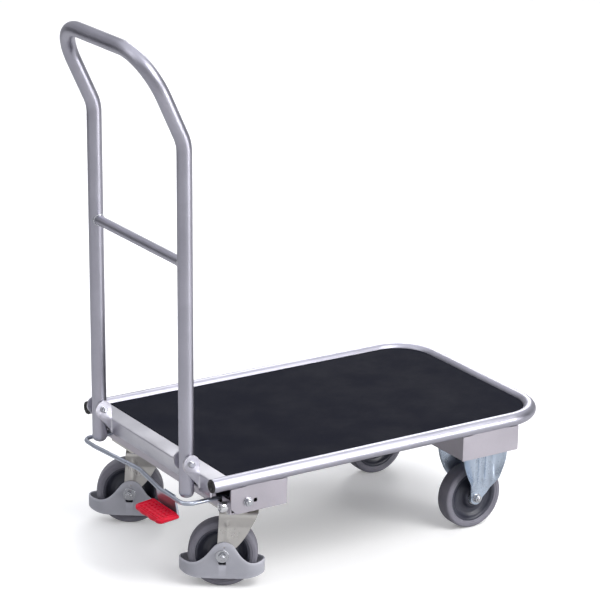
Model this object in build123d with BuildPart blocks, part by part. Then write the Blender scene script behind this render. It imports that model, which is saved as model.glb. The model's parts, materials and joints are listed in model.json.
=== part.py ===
"""Folding platform cart: a tube-rimmed deck on two swivel and two fixed castors, with a push handle that
folds down over the deck once a foot pedal has lowered the bail that latches it.

Millimetres. +X runs from the handle end to the far end, +Y to the left, +Z up. The origin is the centre of
the cart's footprint, on the floor. Distances along the deck are counted from the two open ends of the rim
tube, which station() turns into X.
"""

import os
from math import acos, atan2, cos, hypot, radians, sin

from build123d import *

os.makedirs("parts", exist_ok=True)

sides = {"right": -1, "left": 1}
sheet = 3.0
running = 0.05

# Deck
rim_radius = 12.5
rim_wall = 2.0
rim_height = 225.0
rim_half_width = 222.5
rim_far = 733.0
rim_corner_radius = 81.5
rim_bottom = rim_height - rim_radius
panel_thickness = 9.0
panel_top = 230.5
panel_bottom = panel_top - panel_thickness
panel_start = 40.3
panel_gap = 0.5

# Handle
handle_radius = 13.5
handle_wall = 2.0
leg_y = 156.0
pivot_station = -11.6
pivot_z = 251.0
lean = radians(0.88)
bend = radians(24.7)
leg_below_pivot = 66.5
cap_height = 10.0
leg_above_pivot = 573.0
upper_length = 173.0
leg_bend_radius = 70.0
top_corner_radius = 82.0
crossbar_radius = 9.0
crossbar_above_pivot = 361.0

# Everything along X is shifted so that the whole cart's box is centred on the origin.
handle_reach = leg_above_pivot * sin(lean) + upper_length * sin(lean + bend) + handle_radius
centre_shift = (rim_far + rim_radius + pivot_station - handle_reach) / 2


def station(distance):
    """X of a point at this distance from the rim tube's open ends."""
    return distance - centre_shift


# Hinge
pivot_x = station(pivot_station)
ear_radius = 16.5
ear_gap = 1.0
ear_inner = leg_y - handle_radius - ear_gap
ear_outer = leg_y + handle_radius + ear_gap
pivot_bolt_radius = 3.0
pivot_sleeve_radius = 6.0
apron_x = station(5)
apron_bottom = 203.0
outer_apron_bottom = 198.5
crossmember_top = 230.0
crossmember_rear = station(40)
crossmember_ledge = station(58)

# Front and rear channels
front_beam = (station(38), station(154))
front_beam_bottom = 163.0
rear_beam = (station(538), station(665))
rear_beam_bottom = 164.0
beam_top = 212.0

# Latch bail and pedal
bail_radius = 4.0
bail_pivot = (station(72.5), 182.6)
bail_reach = 103.5
bail_arm_y = 184.0
bail_end_y = 233.5
bail_dip = 16.0
bail_straight_right = 98.0
bail_straight_left = 138.0
pedal_y = (-160.0, -71.0)
pedal_depth = 46.0
pedal_thickness = 9.0
pedal_slope = radians(6)
pedal_root = (station(-25), 157.5)

# Castors
wheel_radius = 62.5
wheel_half_width = 16.0
tyre_inner_radius = 49.0
bearing_outer_radius = 14.0
hub_half_width = 18.0
axle_sleeve_radius = 6.0
axle_radius = 4.0
kingpin_station = 93.0
kingpin_y = 166.5
kingpin_radius = 6.0
trail = 29.0
swivel_turn = radians(-34)
swivel_cheek = (20.0, 23.0)
swivel_plate_size = (105.0, 85.0)
swivel_bolt_spacing = (80.0, 60.0)
fixed_station = 607.0
fixed_y = 158.0
fixed_cheek = (22.0, 25.0)
fixed_plate_size = (105.0, 86.0)
fixed_bolt_spacing = (80.0, 60.0)
fixed_plate_station = 612.0
plate_thickness = 4.0


def save(builder, name):
    builder.part.label = name
    export_step(builder.part, f"parts/{name}.step")


def side_sketch(y):
    """An X-Z sketch plane at this y, whose extrusions run towards -Y."""
    return Plane.XZ.offset(-y)


def outward(x, y, z):
    """A plane at a point, facing away from the cart's centre plane."""
    return Plane(origin=(x, y, z), x_dir=(1, 0, 0), z_dir=(0, 1 if y > 0 else -1, 0))


def inward(x, y, z):
    """A plane at a point, facing the cart's centre plane."""
    return Plane(origin=(x, y, z), x_dir=(1, 0, 0), z_dir=(0, -1 if y > 0 else 1, 0))


def box_between(low, high, mode=Mode.ADD):
    """A box between two corners, on the world axes."""
    with BuildSketch(Plane.XY.offset(low[2])) as outline:
        with Locations(((low[0] + high[0]) / 2, (low[1] + high[1]) / 2)):
            Rectangle(high[0] - low[0], high[1] - low[1])
    extrude(outline.sketch, amount=high[2] - low[2], mode=mode)


def hexagon(plane, flats, height, bore=0.0):
    """A bolt head or, with a bore, a nut, standing on the plane."""
    with BuildSketch(plane) as outline:
        RegularPolygon(flats / 2, 6, major_radius=False)
        if bore:
            Circle(bore, mode=Mode.SUBTRACT)
    extrude(outline.sketch, amount=height)


def disc(plane, radius, height, bore=0.0):
    """A washer, pin or disc standing on the plane."""
    with BuildSketch(plane) as outline:
        Circle(radius)
        if bore:
            Circle(bore, mode=Mode.SUBTRACT)
    extrude(outline.sketch, amount=height)


# ---------------------------------------------------------------- rim tube and plugs

with BuildPart() as rim_tube:
    with BuildLine() as rim_path:
        FilletPolyline(
            (station(0), -rim_half_width, rim_height),
            (station(rim_far), -rim_half_width, rim_height),
            (station(rim_far), rim_half_width, rim_height),
            (station(0), rim_half_width, rim_height),
            radius=rim_corner_radius,
        )
    with BuildSketch(Plane(origin=rim_path.line @ 0, z_dir=rim_path.line % 0)):
        Circle(rim_radius)
        Circle(rim_radius - rim_wall, mode=Mode.SUBTRACT)
    sweep(path=rim_path.line)
save(rim_tube, "rim_tube")

plug_depth = 16.0
plug_wall = 1.6
plug_floor = 2.5
plug_recess = 3.0
flange_radius = 12.0
flange_thickness = 1.6
with BuildPart() as rim_plugs:
    for side in sides.values():
        mouth = Plane(origin=(station(0), side * rim_half_width, rim_height), z_dir=(1, 0, 0))
        disc(mouth, rim_radius - rim_wall, plug_depth)
        disc(mouth, flange_radius, -flange_thickness, rim_radius - rim_wall - plug_wall)
        with BuildSketch(mouth):
            Circle(rim_radius - rim_wall - plug_wall)
        extrude(amount=plug_recess, mode=Mode.SUBTRACT)
        with BuildSketch(mouth.offset(plug_recess + plug_floor)):
            Circle(rim_radius - rim_wall - plug_wall)
        extrude(amount=plug_depth, mode=Mode.SUBTRACT)
save(rim_plugs, "rim_plugs")

# ---------------------------------------------------------------- panel, its rails and screws

panel_half_width = rim_half_width - rim_radius - panel_gap
panel_end = rim_far - rim_radius - panel_gap
screw_radius = 2.0
screw_depth = 6.0
screw_head = 4.0
screw_stations = (100.0, 290.0, 480.0, 640.0)
screw_y = 200.0
far_screws = [(station(710), y) for y in (-90.0, 90.0)]
side_screws = [(station(d), side * screw_y) for d in screw_stations for side in sides.values()]
screw_places = side_screws + far_screws
with BuildPart() as deck_panel:
    box_between(
        (station(panel_start), -panel_half_width, panel_bottom),
        (station(panel_end), panel_half_width, panel_top),
    )
    far_corners = deck_panel.edges().filter_by(Axis.Z).group_by(Axis.X)[-1]
    fillet(far_corners, rim_corner_radius - rim_radius - panel_gap)
    top_edges = deck_panel.faces().sort_by(Axis.Z)[-1].edges()
    chamfer(top_edges, 0.6)
    with BuildSketch(Plane.XY.offset(panel_bottom)):
        with Locations(*screw_places):
            Circle(screw_radius)
    extrude(amount=screw_depth, mode=Mode.SUBTRACT)
save(deck_panel, "deck_panel")

rail_outer = 210.4
rail_inner = 190.0
rail_ends = (station(60), station(655))
far_rail = (station(699), station(720.4))
far_rail_half = 125.0
with BuildPart() as panel_rails:
    for side in sides.values():
        low_y, high_y = sorted((side * rail_inner, side * rail_outer))
        box_between((rail_ends[0], low_y, panel_bottom - sheet), (rail_ends[1], high_y, panel_bottom))
    box_between(
        (far_rail[0], -far_rail_half, panel_bottom - sheet),
        (far_rail[1], far_rail_half, panel_bottom),
    )
    with BuildSketch(Plane.XY.offset(panel_bottom)):
        with Locations(*screw_places):
            Circle(screw_radius)
    extrude(amount=-sheet, mode=Mode.SUBTRACT)
save(panel_rails, "panel_rails")

with BuildPart() as panel_screws:
    for x, y in screw_places:
        under_rail = Plane.XY.offset(panel_bottom - sheet)
        with BuildSketch(under_rail):
            with Locations((x, y)):
                Circle(screw_radius)
        extrude(amount=sheet + screw_depth)
        with BuildSketch(under_rail):
            with Locations((x, y)):
                Circle(screw_head)
        extrude(amount=-2.2, taper=20)
save(panel_screws, "panel_screws")

# ---------------------------------------------------------------- hinge cross-member with four ears

member_half_width = rim_half_width - rim_radius
ear_foot = (apron_x + 2, 203.6)
ear_bend = 2.5
to_foot = (ear_foot[0] - pivot_x, ear_foot[1] - pivot_z)
tangent_angle = atan2(to_foot[1], to_foot[0]) - acos(ear_radius / hypot(*to_foot))


def on_ear(angle):
    """A point of the ear's round head."""
    return (pivot_x + ear_radius * cos(angle), pivot_z + ear_radius * sin(angle))


with BuildPart() as hinge_crossmember:
    with BuildSketch(side_sketch(member_half_width)):
        with BuildLine():
            Polyline(
                (apron_x, apron_bottom),
                (apron_x, crossmember_top),
                (crossmember_rear, crossmember_top),
                (crossmember_rear, panel_bottom),
                (crossmember_ledge, panel_bottom),
                (crossmember_ledge, panel_bottom - sheet),
                (crossmember_rear - sheet, panel_bottom - sheet),
                (crossmember_rear - sheet, crossmember_top - sheet),
                (apron_x + sheet, crossmember_top - sheet),
                (apron_x + sheet, apron_bottom),
                (apron_x, apron_bottom),
            )
        make_face()
    extrude(amount=2 * member_half_width)
    nose = hinge_crossmember.edges().filter_by(Axis.Y).group_by(Axis.Z)[-1].sort_by(Axis.X)[0]
    fillet(nose, sheet * 0.9)
    for side in sides.values():
        low_y, high_y = sorted((side * ear_outer, side * member_half_width))
        box_between(
            (apron_x, low_y, outer_apron_bottom), (apron_x + sheet, high_y, apron_bottom + sheet)
        )
        for near_leg, away in ((ear_inner, -sheet), (ear_outer, sheet)):
            ear_high = max(side * near_leg, side * (near_leg + away))
            with BuildSketch(side_sketch(ear_high)):
                with BuildLine():
                    ThreePointArc(on_ear(tangent_angle), on_ear(radians(110)), on_ear(0))
                    Polyline(
                        on_ear(0),
                        (pivot_x + ear_radius, crossmember_top - sheet),
                        (ear_foot[0], crossmember_top - sheet),
                        ear_foot,
                        on_ear(tangent_angle),
                    )
                make_face()
            extrude(amount=sheet)
    for side in sides.values():
        for ear_face, away in ((ear_inner - sheet, -side), (ear_outer + sheet, side)):
            # The rounded inside of each bend, where an ear leaves the apron.
            corner = (apron_x, side * ear_face)
            on_face = (apron_x - ear_bend, side * ear_face)
            on_apron = (apron_x, side * ear_face + away * ear_bend)
            middle = (
                apron_x - ear_bend * (1 - cos(radians(45))),
                side * ear_face + away * ear_bend * (1 - cos(radians(45))),
            )
            with BuildSketch(Plane.XY.offset(ear_foot[1])):
                with BuildLine():
                    Line(corner, on_face)
                    ThreePointArc(on_face, middle, on_apron)
                    Line(on_apron, corner)
                make_face()
            extrude(amount=crossmember_top - sheet - ear_foot[1])
    with BuildSketch(side_sketch(member_half_width)):
        with Locations((pivot_x, pivot_z)):
            Circle(pivot_bolt_radius + 0.1)
    extrude(amount=2 * member_half_width, mode=Mode.SUBTRACT)
save(hinge_crossmember, "hinge_crossmember")

pad_face = station(3.0)
with BuildPart() as handle_stop_pads:
    for side in sides.values():
        box_between(
            (pad_face, side * leg_y - 9, apron_bottom + 4), (apron_x, side * leg_y + 9, apron_bottom + 16)
        )
    fillet(handle_stop_pads.edges().filter_by(Axis.X), 2.5)
save(handle_stop_pads, "handle_stop_pads")

# ---------------------------------------------------------------- hinge bolts, nuts and washers

washer_thickness = 1.2
washer_radius = 6.2
pivot_flats = 10.0
pivot_head_height = 4.0
pivot_nut_height = 5.0
bolt_flats = 13.0
nut_height = 6.5
outer_ear_face = ear_outer + sheet
inner_ear_face = ear_inner - sheet
bolt_length = outer_ear_face - inner_ear_face + 2 * washer_thickness + pivot_nut_height + 2.0
with BuildPart() as handle_pivot_bolts:
    for side in sides.values():
        seat = outward(pivot_x, side * (outer_ear_face + washer_thickness), pivot_z)
        hexagon(seat, pivot_flats, pivot_head_height)
        disc(seat, pivot_bolt_radius, -bolt_length)
save(handle_pivot_bolts, "handle_pivot_bolts")

with BuildPart() as handle_pivot_nuts:
    for side in sides.values():
        outer_face = outward(pivot_x, side * outer_ear_face, pivot_z)
        inner_face = inward(pivot_x, side * inner_ear_face, pivot_z)
        for face in (outer_face, inner_face):
            disc(face, washer_radius, washer_thickness, pivot_bolt_radius)
        seat = inward(pivot_x, side * (inner_ear_face - washer_thickness), pivot_z)
        hexagon(seat, pivot_flats, pivot_nut_height, pivot_bolt_radius)
save(handle_pivot_nuts, "handle_pivot_nuts")

# ---------------------------------------------------------------- handle


def on_handle(along_leg, along_top, y):
    """A point of the handle's centreline, measured up the leg from the pivot and then past its bend."""
    x = pivot_x - along_leg * sin(lean) - along_top * sin(lean + bend)
    return (x, y, pivot_z + along_leg * cos(lean) + along_top * cos(lean + bend))


leg_direction = Vector(-sin(lean), 0, cos(lean))
tube_start = cap_height - leg_below_pivot
with BuildPart() as handle_tube:
    with BuildLine() as handle_path:
        FilletPolyline(
            on_handle(tube_start, 0, -leg_y),
            on_handle(leg_above_pivot, 0, -leg_y),
            on_handle(leg_above_pivot, upper_length, -leg_y),
            on_handle(leg_above_pivot, upper_length, leg_y),
            on_handle(leg_above_pivot, 0, leg_y),
            on_handle(tube_start, 0, leg_y),
            radius=[leg_bend_radius, top_corner_radius, top_corner_radius, leg_bend_radius],
        )
    with BuildSketch(Plane(origin=handle_path.line @ 0, z_dir=handle_path.line % 0)):
        Circle(handle_radius)
        Circle(handle_radius - handle_wall, mode=Mode.SUBTRACT)
    sweep(path=handle_path.line)
    with BuildSketch(side_sketch(leg_y + handle_radius)):
        with Locations((pivot_x, pivot_z)):
            Circle(pivot_sleeve_radius)
    extrude(amount=2 * (leg_y + handle_radius), mode=Mode.SUBTRACT)
save(handle_tube, "handle_tube")

with BuildPart() as handle_crossbar:
    bar_x, _, bar_z = on_handle(crossbar_above_pivot, 0, 0)
    with BuildSketch(side_sketch(leg_y)):
        with Locations((bar_x, bar_z)):
            Circle(crossbar_radius)
            Circle(crossbar_radius - 1.5, mode=Mode.SUBTRACT)
    extrude(amount=2 * leg_y)
    # The ends are shaped to the legs they are welded to.
    for side in sides.values():
        start = on_handle(crossbar_above_pivot - 40, 0, side * leg_y)
        with BuildSketch(Plane(origin=start, z_dir=leg_direction)):
            Circle(handle_radius)
        extrude(amount=80, mode=Mode.SUBTRACT)
save(handle_crossbar, "handle_crossbar")

cap_stem = 12.0
with BuildPart() as handle_end_caps:
    for side in sides.values():
        tube_end = Plane(origin=on_handle(tube_start, 0, side * leg_y), z_dir=-leg_direction)
        disc(tube_end, handle_radius, cap_height)
        disc(tube_end, handle_radius - handle_wall, -cap_stem)
    fillet(handle_end_caps.edges().group_by(Axis.Z)[0], cap_height - 0.02)
save(handle_end_caps, "handle_end_caps")

sleeve_overhang = 0.3
with BuildPart() as pivot_sleeves:
    for side in sides.values():
        start = outward(pivot_x, side * (leg_y - handle_radius - sleeve_overhang), pivot_z)
        disc(start, pivot_sleeve_radius, 2 * (handle_radius + sleeve_overhang), pivot_bolt_radius + running)
save(pivot_sleeves, "pivot_sleeves")

# ---------------------------------------------------------------- channels under the deck

bolt_hole = 4.25
kingpin_hole = 13.0
swivel_places = [
    (station(kingpin_station) + dx, side * kingpin_y + dy)
    for side in sides.values()
    for dx in (-swivel_bolt_spacing[0] / 2, swivel_bolt_spacing[0] / 2)
    for dy in (-swivel_bolt_spacing[1] / 2, swivel_bolt_spacing[1] / 2)
]
fixed_places = [
    (station(fixed_plate_station) + dx, side * fixed_y + dy)
    for side in sides.values()
    for dx in (-fixed_bolt_spacing[0] / 2, fixed_bolt_spacing[0] / 2)
    for dy in (-fixed_bolt_spacing[1] / 2, fixed_bolt_spacing[1] / 2)
]


def channel(span, bottom):
    """A pressed channel, open upwards, that runs right across the deck."""
    low, high = span
    with BuildSketch(side_sketch(rim_half_width)) as section:
        with BuildLine():
            Polyline(
                (low, bottom),
                (high, bottom),
                (high, beam_top),
                (high - sheet, beam_top),
                (high - sheet, bottom + sheet),
                (low + sheet, bottom + sheet),
                (low + sheet, beam_top),
                (low, beam_top),
                (low, bottom),
            )
        make_face()
    extrude(section.sketch, amount=2 * rim_half_width)


def drill_down(plane_z, places, radius):
    """Holes through a channel's web."""
    with BuildSketch(Plane.XY.offset(plane_z)) as holes:
        with Locations(*places):
            Circle(radius)
    extrude(holes.sketch, amount=sheet, mode=Mode.SUBTRACT)


with BuildPart() as front_crossbeam:
    channel(front_beam, front_beam_bottom)
    lower_edges = front_crossbeam.edges().filter_by(Axis.Y).group_by(Axis.Z)[0]
    fillet(lower_edges, sheet * 0.9)
    drill_down(front_beam_bottom, swivel_places, bolt_hole)
    kingpin_places = [(station(kingpin_station), side * kingpin_y) for side in sides.values()]
    drill_down(front_beam_bottom, kingpin_places, kingpin_hole)
    for side in sides.values():
        # Room for the bail's arm, and a lower flange out to the end plate.
        for near_y, far_y, floor in ((174.0, 196.0, 176.0), (196.0, rim_half_width, 190.0)):
            low_y, high_y = sorted((side * near_y, side * far_y))
            box_between(
                (front_beam[0], low_y, floor), (front_beam[0] + sheet, high_y, beam_top), mode=Mode.SUBTRACT
            )
save(front_crossbeam, "front_crossbeam")

with BuildPart() as rear_crossbeam:
    channel(rear_beam, rear_beam_bottom)
    lower_edges = rear_crossbeam.edges().filter_by(Axis.Y).group_by(Axis.Z)[0]
    fillet(lower_edges, sheet * 0.9)
    drill_down(rear_beam_bottom, fixed_places, bolt_hole)
save(rear_crossbeam, "rear_crossbeam")

tab = (station(70), station(125))
tab_slope = 5.0
shoulder_z = 211.5
corner_cut = 12.0
spare_hole = (station(88), 183.0)
with BuildPart() as front_end_plates:
    for side in sides.values():
        high_y = max(side * rim_half_width, side * (rim_half_width + sheet))
        with BuildSketch(side_sketch(high_y)):
            Polygon(
                (front_beam[0] + corner_cut, front_beam_bottom),
                (front_beam[1], front_beam_bottom),
                (front_beam[1], shoulder_z),
                (tab[1] + tab_slope, shoulder_z),
                (tab[1], rim_bottom),
                (tab[0], rim_bottom),
                (tab[0] - tab_slope, shoulder_z),
                (front_beam[0], shoulder_z),
                (front_beam[0], front_beam_bottom + corner_cut),
                align=None,
            )
            with Locations(bail_pivot):
                Circle(bail_radius + running, mode=Mode.SUBTRACT)
            with Locations(spare_hole):
                Circle(4.0, mode=Mode.SUBTRACT)
        extrude(amount=sheet)
save(front_end_plates, "front_end_plates")

with BuildPart() as rear_end_plates:
    for side in sides.values():
        high_y = max(side * rim_half_width, side * (rim_half_width + sheet))
        with BuildSketch(side_sketch(high_y)):
            Polygon(
                (rear_beam[0], rear_beam_bottom),
                (rear_beam[1], rear_beam_bottom),
                (rear_beam[1], shoulder_z),
                (rear_beam[1] - 18, shoulder_z),
                (rear_beam[1] - 24, rim_bottom),
                (rear_beam[0] + 24, rim_bottom),
                (rear_beam[0] + 18, shoulder_z),
                (rear_beam[0], shoulder_z),
                align=None,
            )
        extrude(amount=sheet)
save(rear_end_plates, "rear_end_plates")

boss_radius = 9.5
boss_length = 14.0
boss_y = 209.5
boss_z = 175.5
with BuildPart() as beam_bosses:
    for side in sides.values():
        face = Plane(origin=(front_beam[0], side * boss_y, boss_z), z_dir=(-1, 0, 0))
        disc(face, boss_radius, boss_length)
    fillet(beam_bosses.edges().group_by(Axis.X)[0], 2.0)
save(beam_bosses, "beam_bosses")

bolt_groups = (
    (swivel_places, front_beam_bottom),
    (fixed_places, rear_beam_bottom),
)
caster_bolt_radius = 4.0
with BuildPart() as caster_bolts:
    for places, web_z in bolt_groups:
        for x, y in places:
            seat = Plane(origin=(x, y, web_z - plate_thickness), z_dir=(0, 0, -1))
            hexagon(seat, bolt_flats, 5.3)
            disc(seat, caster_bolt_radius, -(plate_thickness + sheet + nut_height + 2.5))
save(caster_bolts, "caster_bolts")

with BuildPart() as caster_nuts:
    for places, web_z in bolt_groups:
        for x, y in places:
            hexagon(Plane(origin=(x, y, web_z + sheet)), bolt_flats, nut_height, caster_bolt_radius)
save(caster_nuts, "caster_nuts")

# ---------------------------------------------------------------- latch bail, pedal and springs

bail_x, bail_z = bail_pivot
front_x = bail_x - bail_reach
corner_radius = 19.0
trunnion_bend = 10.0
dip_bend = 60.0
bail_points = [
    (bail_x, -bail_end_y, bail_z),
    (bail_x, -bail_arm_y, bail_z),
    (front_x, -bail_arm_y, bail_z),
    (front_x, -bail_straight_right, bail_z),
    (front_x + bail_dip, 0, bail_z),
    (front_x, bail_straight_left, bail_z),
    (front_x, bail_arm_y, bail_z),
    (bail_x, bail_arm_y, bail_z),
    (bail_x, bail_end_y, bail_z),
]
bail_bends = [trunnion_bend, corner_radius, dip_bend, dip_bend, dip_bend, corner_radius, trunnion_bend]
with BuildPart() as latch_bail:
    with BuildLine() as bail_path:
        FilletPolyline(*bail_points, radius=bail_bends)
    with BuildSketch(Plane(origin=bail_path.line @ 0, z_dir=bail_path.line % 0)):
        Circle(bail_radius)
    sweep(path=bail_path.line)
save(latch_bail, "latch_bail")

pedal_low, pedal_high = pedal_y
root_x, root_z = pedal_root
down_slope = (-cos(pedal_slope), -sin(pedal_slope))
below_tread = (sin(pedal_slope), -cos(pedal_slope))
seat_inset = 12.0


def on_pedal(outward_distance, depth):
    """A point of the pedal's side view, measured down its slope and then below its tread."""
    x = root_x + outward_distance * down_slope[0] + depth * below_tread[0]
    return (x, root_z + outward_distance * down_slope[1] + depth * below_tread[1])


web_top_x = front_x + 1.5
with BuildPart() as pedal_bracket:
    # Bent sheet: a web that hangs from the rod and a foot under the pedal.
    with BuildSketch(side_sketch(pedal_high - seat_inset)):
        Polygon(
            (web_top_x, bail_z),
            (web_top_x - sheet, bail_z),
            on_pedal(sheet, pedal_thickness),
            on_pedal(pedal_depth - 16, pedal_thickness),
            on_pedal(pedal_depth - 16, pedal_thickness + sheet),
            on_pedal(0, pedal_thickness + sheet),
            align=None,
        )
    extrude(amount=pedal_high - pedal_low - 2 * seat_inset)
    with BuildSketch(side_sketch(pedal_high)):
        with Locations((front_x, bail_z)):
            Circle(bail_radius)
    extrude(amount=pedal_high - pedal_low, mode=Mode.SUBTRACT)
    box_between(
        (front_x - 8, -bail_straight_right - 3, bail_z - 8), (front_x + 12, pedal_high, bail_z + 8),
        mode=Mode.SUBTRACT,
    )
    box_between(
        (front_x - 8, pedal_low, bail_z), (front_x + 12, pedal_high, bail_z + 8), mode=Mode.SUBTRACT
    )
save(pedal_bracket, "pedal_bracket")

rib_count = 6
rib_height = 1.6
rib_width = 2.6
rib_end_gap = 6.0
with BuildPart() as foot_pedal:
    with BuildSketch(side_sketch(pedal_high)):
        Polygon(
            on_pedal(sheet + 0.5, rib_height),
            on_pedal(pedal_depth, rib_height),
            on_pedal(pedal_depth, pedal_thickness),
            on_pedal(sheet + 0.5, pedal_thickness),
            align=None,
        )
    extrude(amount=pedal_high - pedal_low)
    outer_edges = foot_pedal.faces().sort_by(Axis.X)[0].edges().filter_by(Axis.Y, reverse=True)
    fillet(outer_edges, 7.0)
    rib_pitch = (pedal_depth - sheet - 9) / (rib_count - 1)
    for rib in range(rib_count):
        start = sheet + 3 + rib * rib_pitch
        with BuildSketch(side_sketch(pedal_high - rib_end_gap)):
            Polygon(
                on_pedal(start, 0),
                on_pedal(start + rib_width, 0),
                on_pedal(start + rib_width, rib_height),
                on_pedal(start, rib_height),
                align=None,
            )
        extrude(amount=pedal_high - pedal_low - 2 * rib_end_gap)
save(foot_pedal, "foot_pedal")

bail_nut_height = 5.5
with BuildPart() as bail_nuts:
    for side in sides.values():
        seat = outward(bail_x, side * (rim_half_width + sheet + 0.5), bail_z)
        hexagon(seat, bolt_flats, bail_nut_height, bail_radius)
save(bail_nuts, "bail_nuts")

wire_radius = 0.8
coil_radius = 5.8
coil_pitch = 2.2
coil_turns = 6
coil_start = 199.0
with BuildPart() as bail_springs:
    for side in sides.values():
        start = Vector(bail_x, side * coil_start, bail_z)
        with BuildLine() as coil:
            Helix(coil_pitch, coil_pitch * coil_turns, coil_radius, center=start, direction=(0, side, 0))
        with BuildSketch(Plane(origin=coil.line @ 0, z_dir=coil.line % 0)):
            Circle(wire_radius)
        sweep(path=coil.line, is_frenet=True)
save(bail_springs, "bail_springs")

# ---------------------------------------------------------------- castors

# Each castor has its own frame: the origin on the floor under the axle, x from the axle towards the
# kingpin, y along the axle.
swivel_frames = {}
fixed_frames = {}
for name, side in sides.items():
    axle_x = station(kingpin_station) - trail * cos(swivel_turn)
    axle_y = side * kingpin_y - trail * sin(swivel_turn)
    swivel_frames[name] = Plane(
        origin=(axle_x, axle_y, 0), x_dir=(cos(swivel_turn), sin(swivel_turn), 0), z_dir=(0, 0, 1)
    )
    fixed_frames[name] = Plane(origin=(station(fixed_station), side * fixed_y, 0))


def lengthwise(frame, across):
    """A castor's side-view plane at this distance along the axle; extrusions run back the other way."""
    return Plane(
        origin=frame.from_local_coords(Vector(0, across, 0)), x_dir=frame.x_dir, z_dir=frame.y_dir * -1
    )


def along_axle(frame, across, outward_sign):
    """A plane across the axle at this distance, facing away from the wheel."""
    centre = frame.from_local_coords(Vector(0, across, wheel_radius))
    return Plane(origin=centre, x_dir=frame.x_dir, z_dir=frame.y_dir * outward_sign)


def kingpin_plane(frame, height, up=1):
    """A level plane on the kingpin's axis."""
    return Plane(
        origin=frame.from_local_coords(Vector(trail, 0, height)), x_dir=frame.x_dir, z_dir=(0, 0, up)
    )


def turned(frame):
    """The half-plane that a wheel's profiles are drawn in: x along the axle, y outwards from it."""
    centre = frame.from_local_coords(Vector(0, 0, wheel_radius))
    return Plane(origin=centre, x_dir=frame.y_dir, z_dir=frame.x_dir)


def axle_line(frame):
    return Axis(frame.from_local_coords(Vector(0, 0, wheel_radius)), frame.y_dir)


def ring(frame, half_width, inner, outer, corner):
    """A ring round the axle, with rounded outer corners."""
    with BuildSketch(turned(frame)) as profile:
        with Locations((0, (inner + outer) / 2)):
            Rectangle(2 * half_width, outer - inner)
        if corner:
            fillet(profile.vertices().group_by(lambda v: turned(frame).to_local_coords(v).Y)[-1], corner)
    revolve(profile.sketch, axle_line(frame))


hub_rim_inner = 44.0
hub_rim_half_width = 14.0
hub_web_half = 4.5
hub_boss_radius = 19.0
hub_bore_radius = 8.0
bearing_width = 8.0


def build_wheel(frame, tyre_name, hub_name, bearing_name):
    with BuildPart() as tyre:
        ring(frame, wheel_half_width, tyre_inner_radius, wheel_radius, 7.0)
    save(tyre, tyre_name)

    with BuildPart() as hub:
        with BuildSketch(turned(frame)) as profile:
            with Locations((0, (hub_rim_inner + tyre_inner_radius) / 2)):
                Rectangle(2 * hub_rim_half_width, tyre_inner_radius - hub_rim_inner)
            with Locations((0, (hub_boss_radius + hub_rim_inner) / 2)):
                Rectangle(2 * hub_web_half, hub_rim_inner - hub_boss_radius)
            with Locations((0, (bearing_outer_radius + hub_boss_radius) / 2)):
                Rectangle(2 * hub_half_width, hub_boss_radius - bearing_outer_radius)
            with Locations((0, (hub_bore_radius + bearing_outer_radius) / 2)):
                Rectangle(2 * (hub_half_width - bearing_width), bearing_outer_radius - hub_bore_radius)
        revolve(profile.sketch, axle_line(frame))
    save(hub, hub_name)

    with BuildPart() as bearings:
        for outward_sign in (-1, 1):
            inner_face = along_axle(frame, outward_sign * (hub_half_width - bearing_width), outward_sign)
            disc(inner_face, bearing_outer_radius, bearing_width, axle_sleeve_radius + running)
    save(bearings, bearing_name)


for name in sides:
    build_wheel(swivel_frames[name], f"front_tyre_{name}", f"front_hub_{name}", f"front_bearings_{name}")
    build_wheel(fixed_frames[name], f"rear_tyre_{name}", f"rear_hub_{name}", f"rear_bearings_{name}")

# Swivel heads: a fixed plate with the upper race, a kingpin, and the fork with the lower race and balls.
race_top = front_beam_bottom - plate_thickness
crown_top = 150.0
lower_race_top = 153.0
upper_race_bottom = 153.6
ball_height = 154.0
ball_circle = 27.0
ball_radius = 3.0
ball_count = 16
upper_race = (22.0, 33.0)
lower_race = (8.0, 32.0)
plate_corner = 8.0


def castor_plate(centre, top, size, holes):
    """A bolted top plate, under a channel's web."""
    with BuildSketch(Plane.XY.offset(top)) as outline:
        with Locations(centre):
            RectangleRounded(size[0], size[1], plate_corner)
        with Locations(*holes):
            Circle(bolt_hole, mode=Mode.SUBTRACT)
    extrude(outline.sketch, amount=-plate_thickness)


def ball_groove(frame, clearance):
    """The track that the balls run in."""
    centre = kingpin_plane(frame, ball_height)
    meridian = Plane(origin=centre.origin, x_dir=frame.x_dir, z_dir=frame.y_dir * -1)
    with BuildSketch(meridian) as section:
        with Locations((ball_circle, 0)):
            Circle(ball_radius + clearance)
    revolve(section.sketch, Axis(centre.origin, (0, 0, 1)), mode=Mode.SUBTRACT)


for name, side in sides.items():
    frame = swivel_frames[name]
    centre = (station(kingpin_station), side * kingpin_y)
    holes = [place for place in swivel_places if place[1] * side > 0]
    with BuildPart() as swivel_plate:
        castor_plate(centre, front_beam_bottom, swivel_plate_size, holes)
        race = kingpin_plane(frame, upper_race_bottom)
        disc(race, upper_race[1], race_top - upper_race_bottom, upper_race[0])
        with BuildSketch(Plane.XY.offset(front_beam_bottom)):
            with Locations(centre):
                Circle(kingpin_radius)
        extrude(amount=-plate_thickness, mode=Mode.SUBTRACT)
        ball_groove(frame, 0.35)
    save(swivel_plate, f"swivel_plate_{name}")

kingpin_head = 5.0
crown_thickness = 3.0
crown_bottom = crown_top - crown_thickness
with BuildPart() as kingpins:
    for frame in swivel_frames.values():
        under_crown = kingpin_plane(frame, crown_bottom - 0.4)
        disc(under_crown, kingpin_radius, front_beam_bottom - crown_bottom + 0.4 + 9.0)
        disc(kingpin_plane(frame, crown_bottom - 0.4, -1), 10.0, kingpin_head)
save(kingpins, "kingpins")

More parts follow.
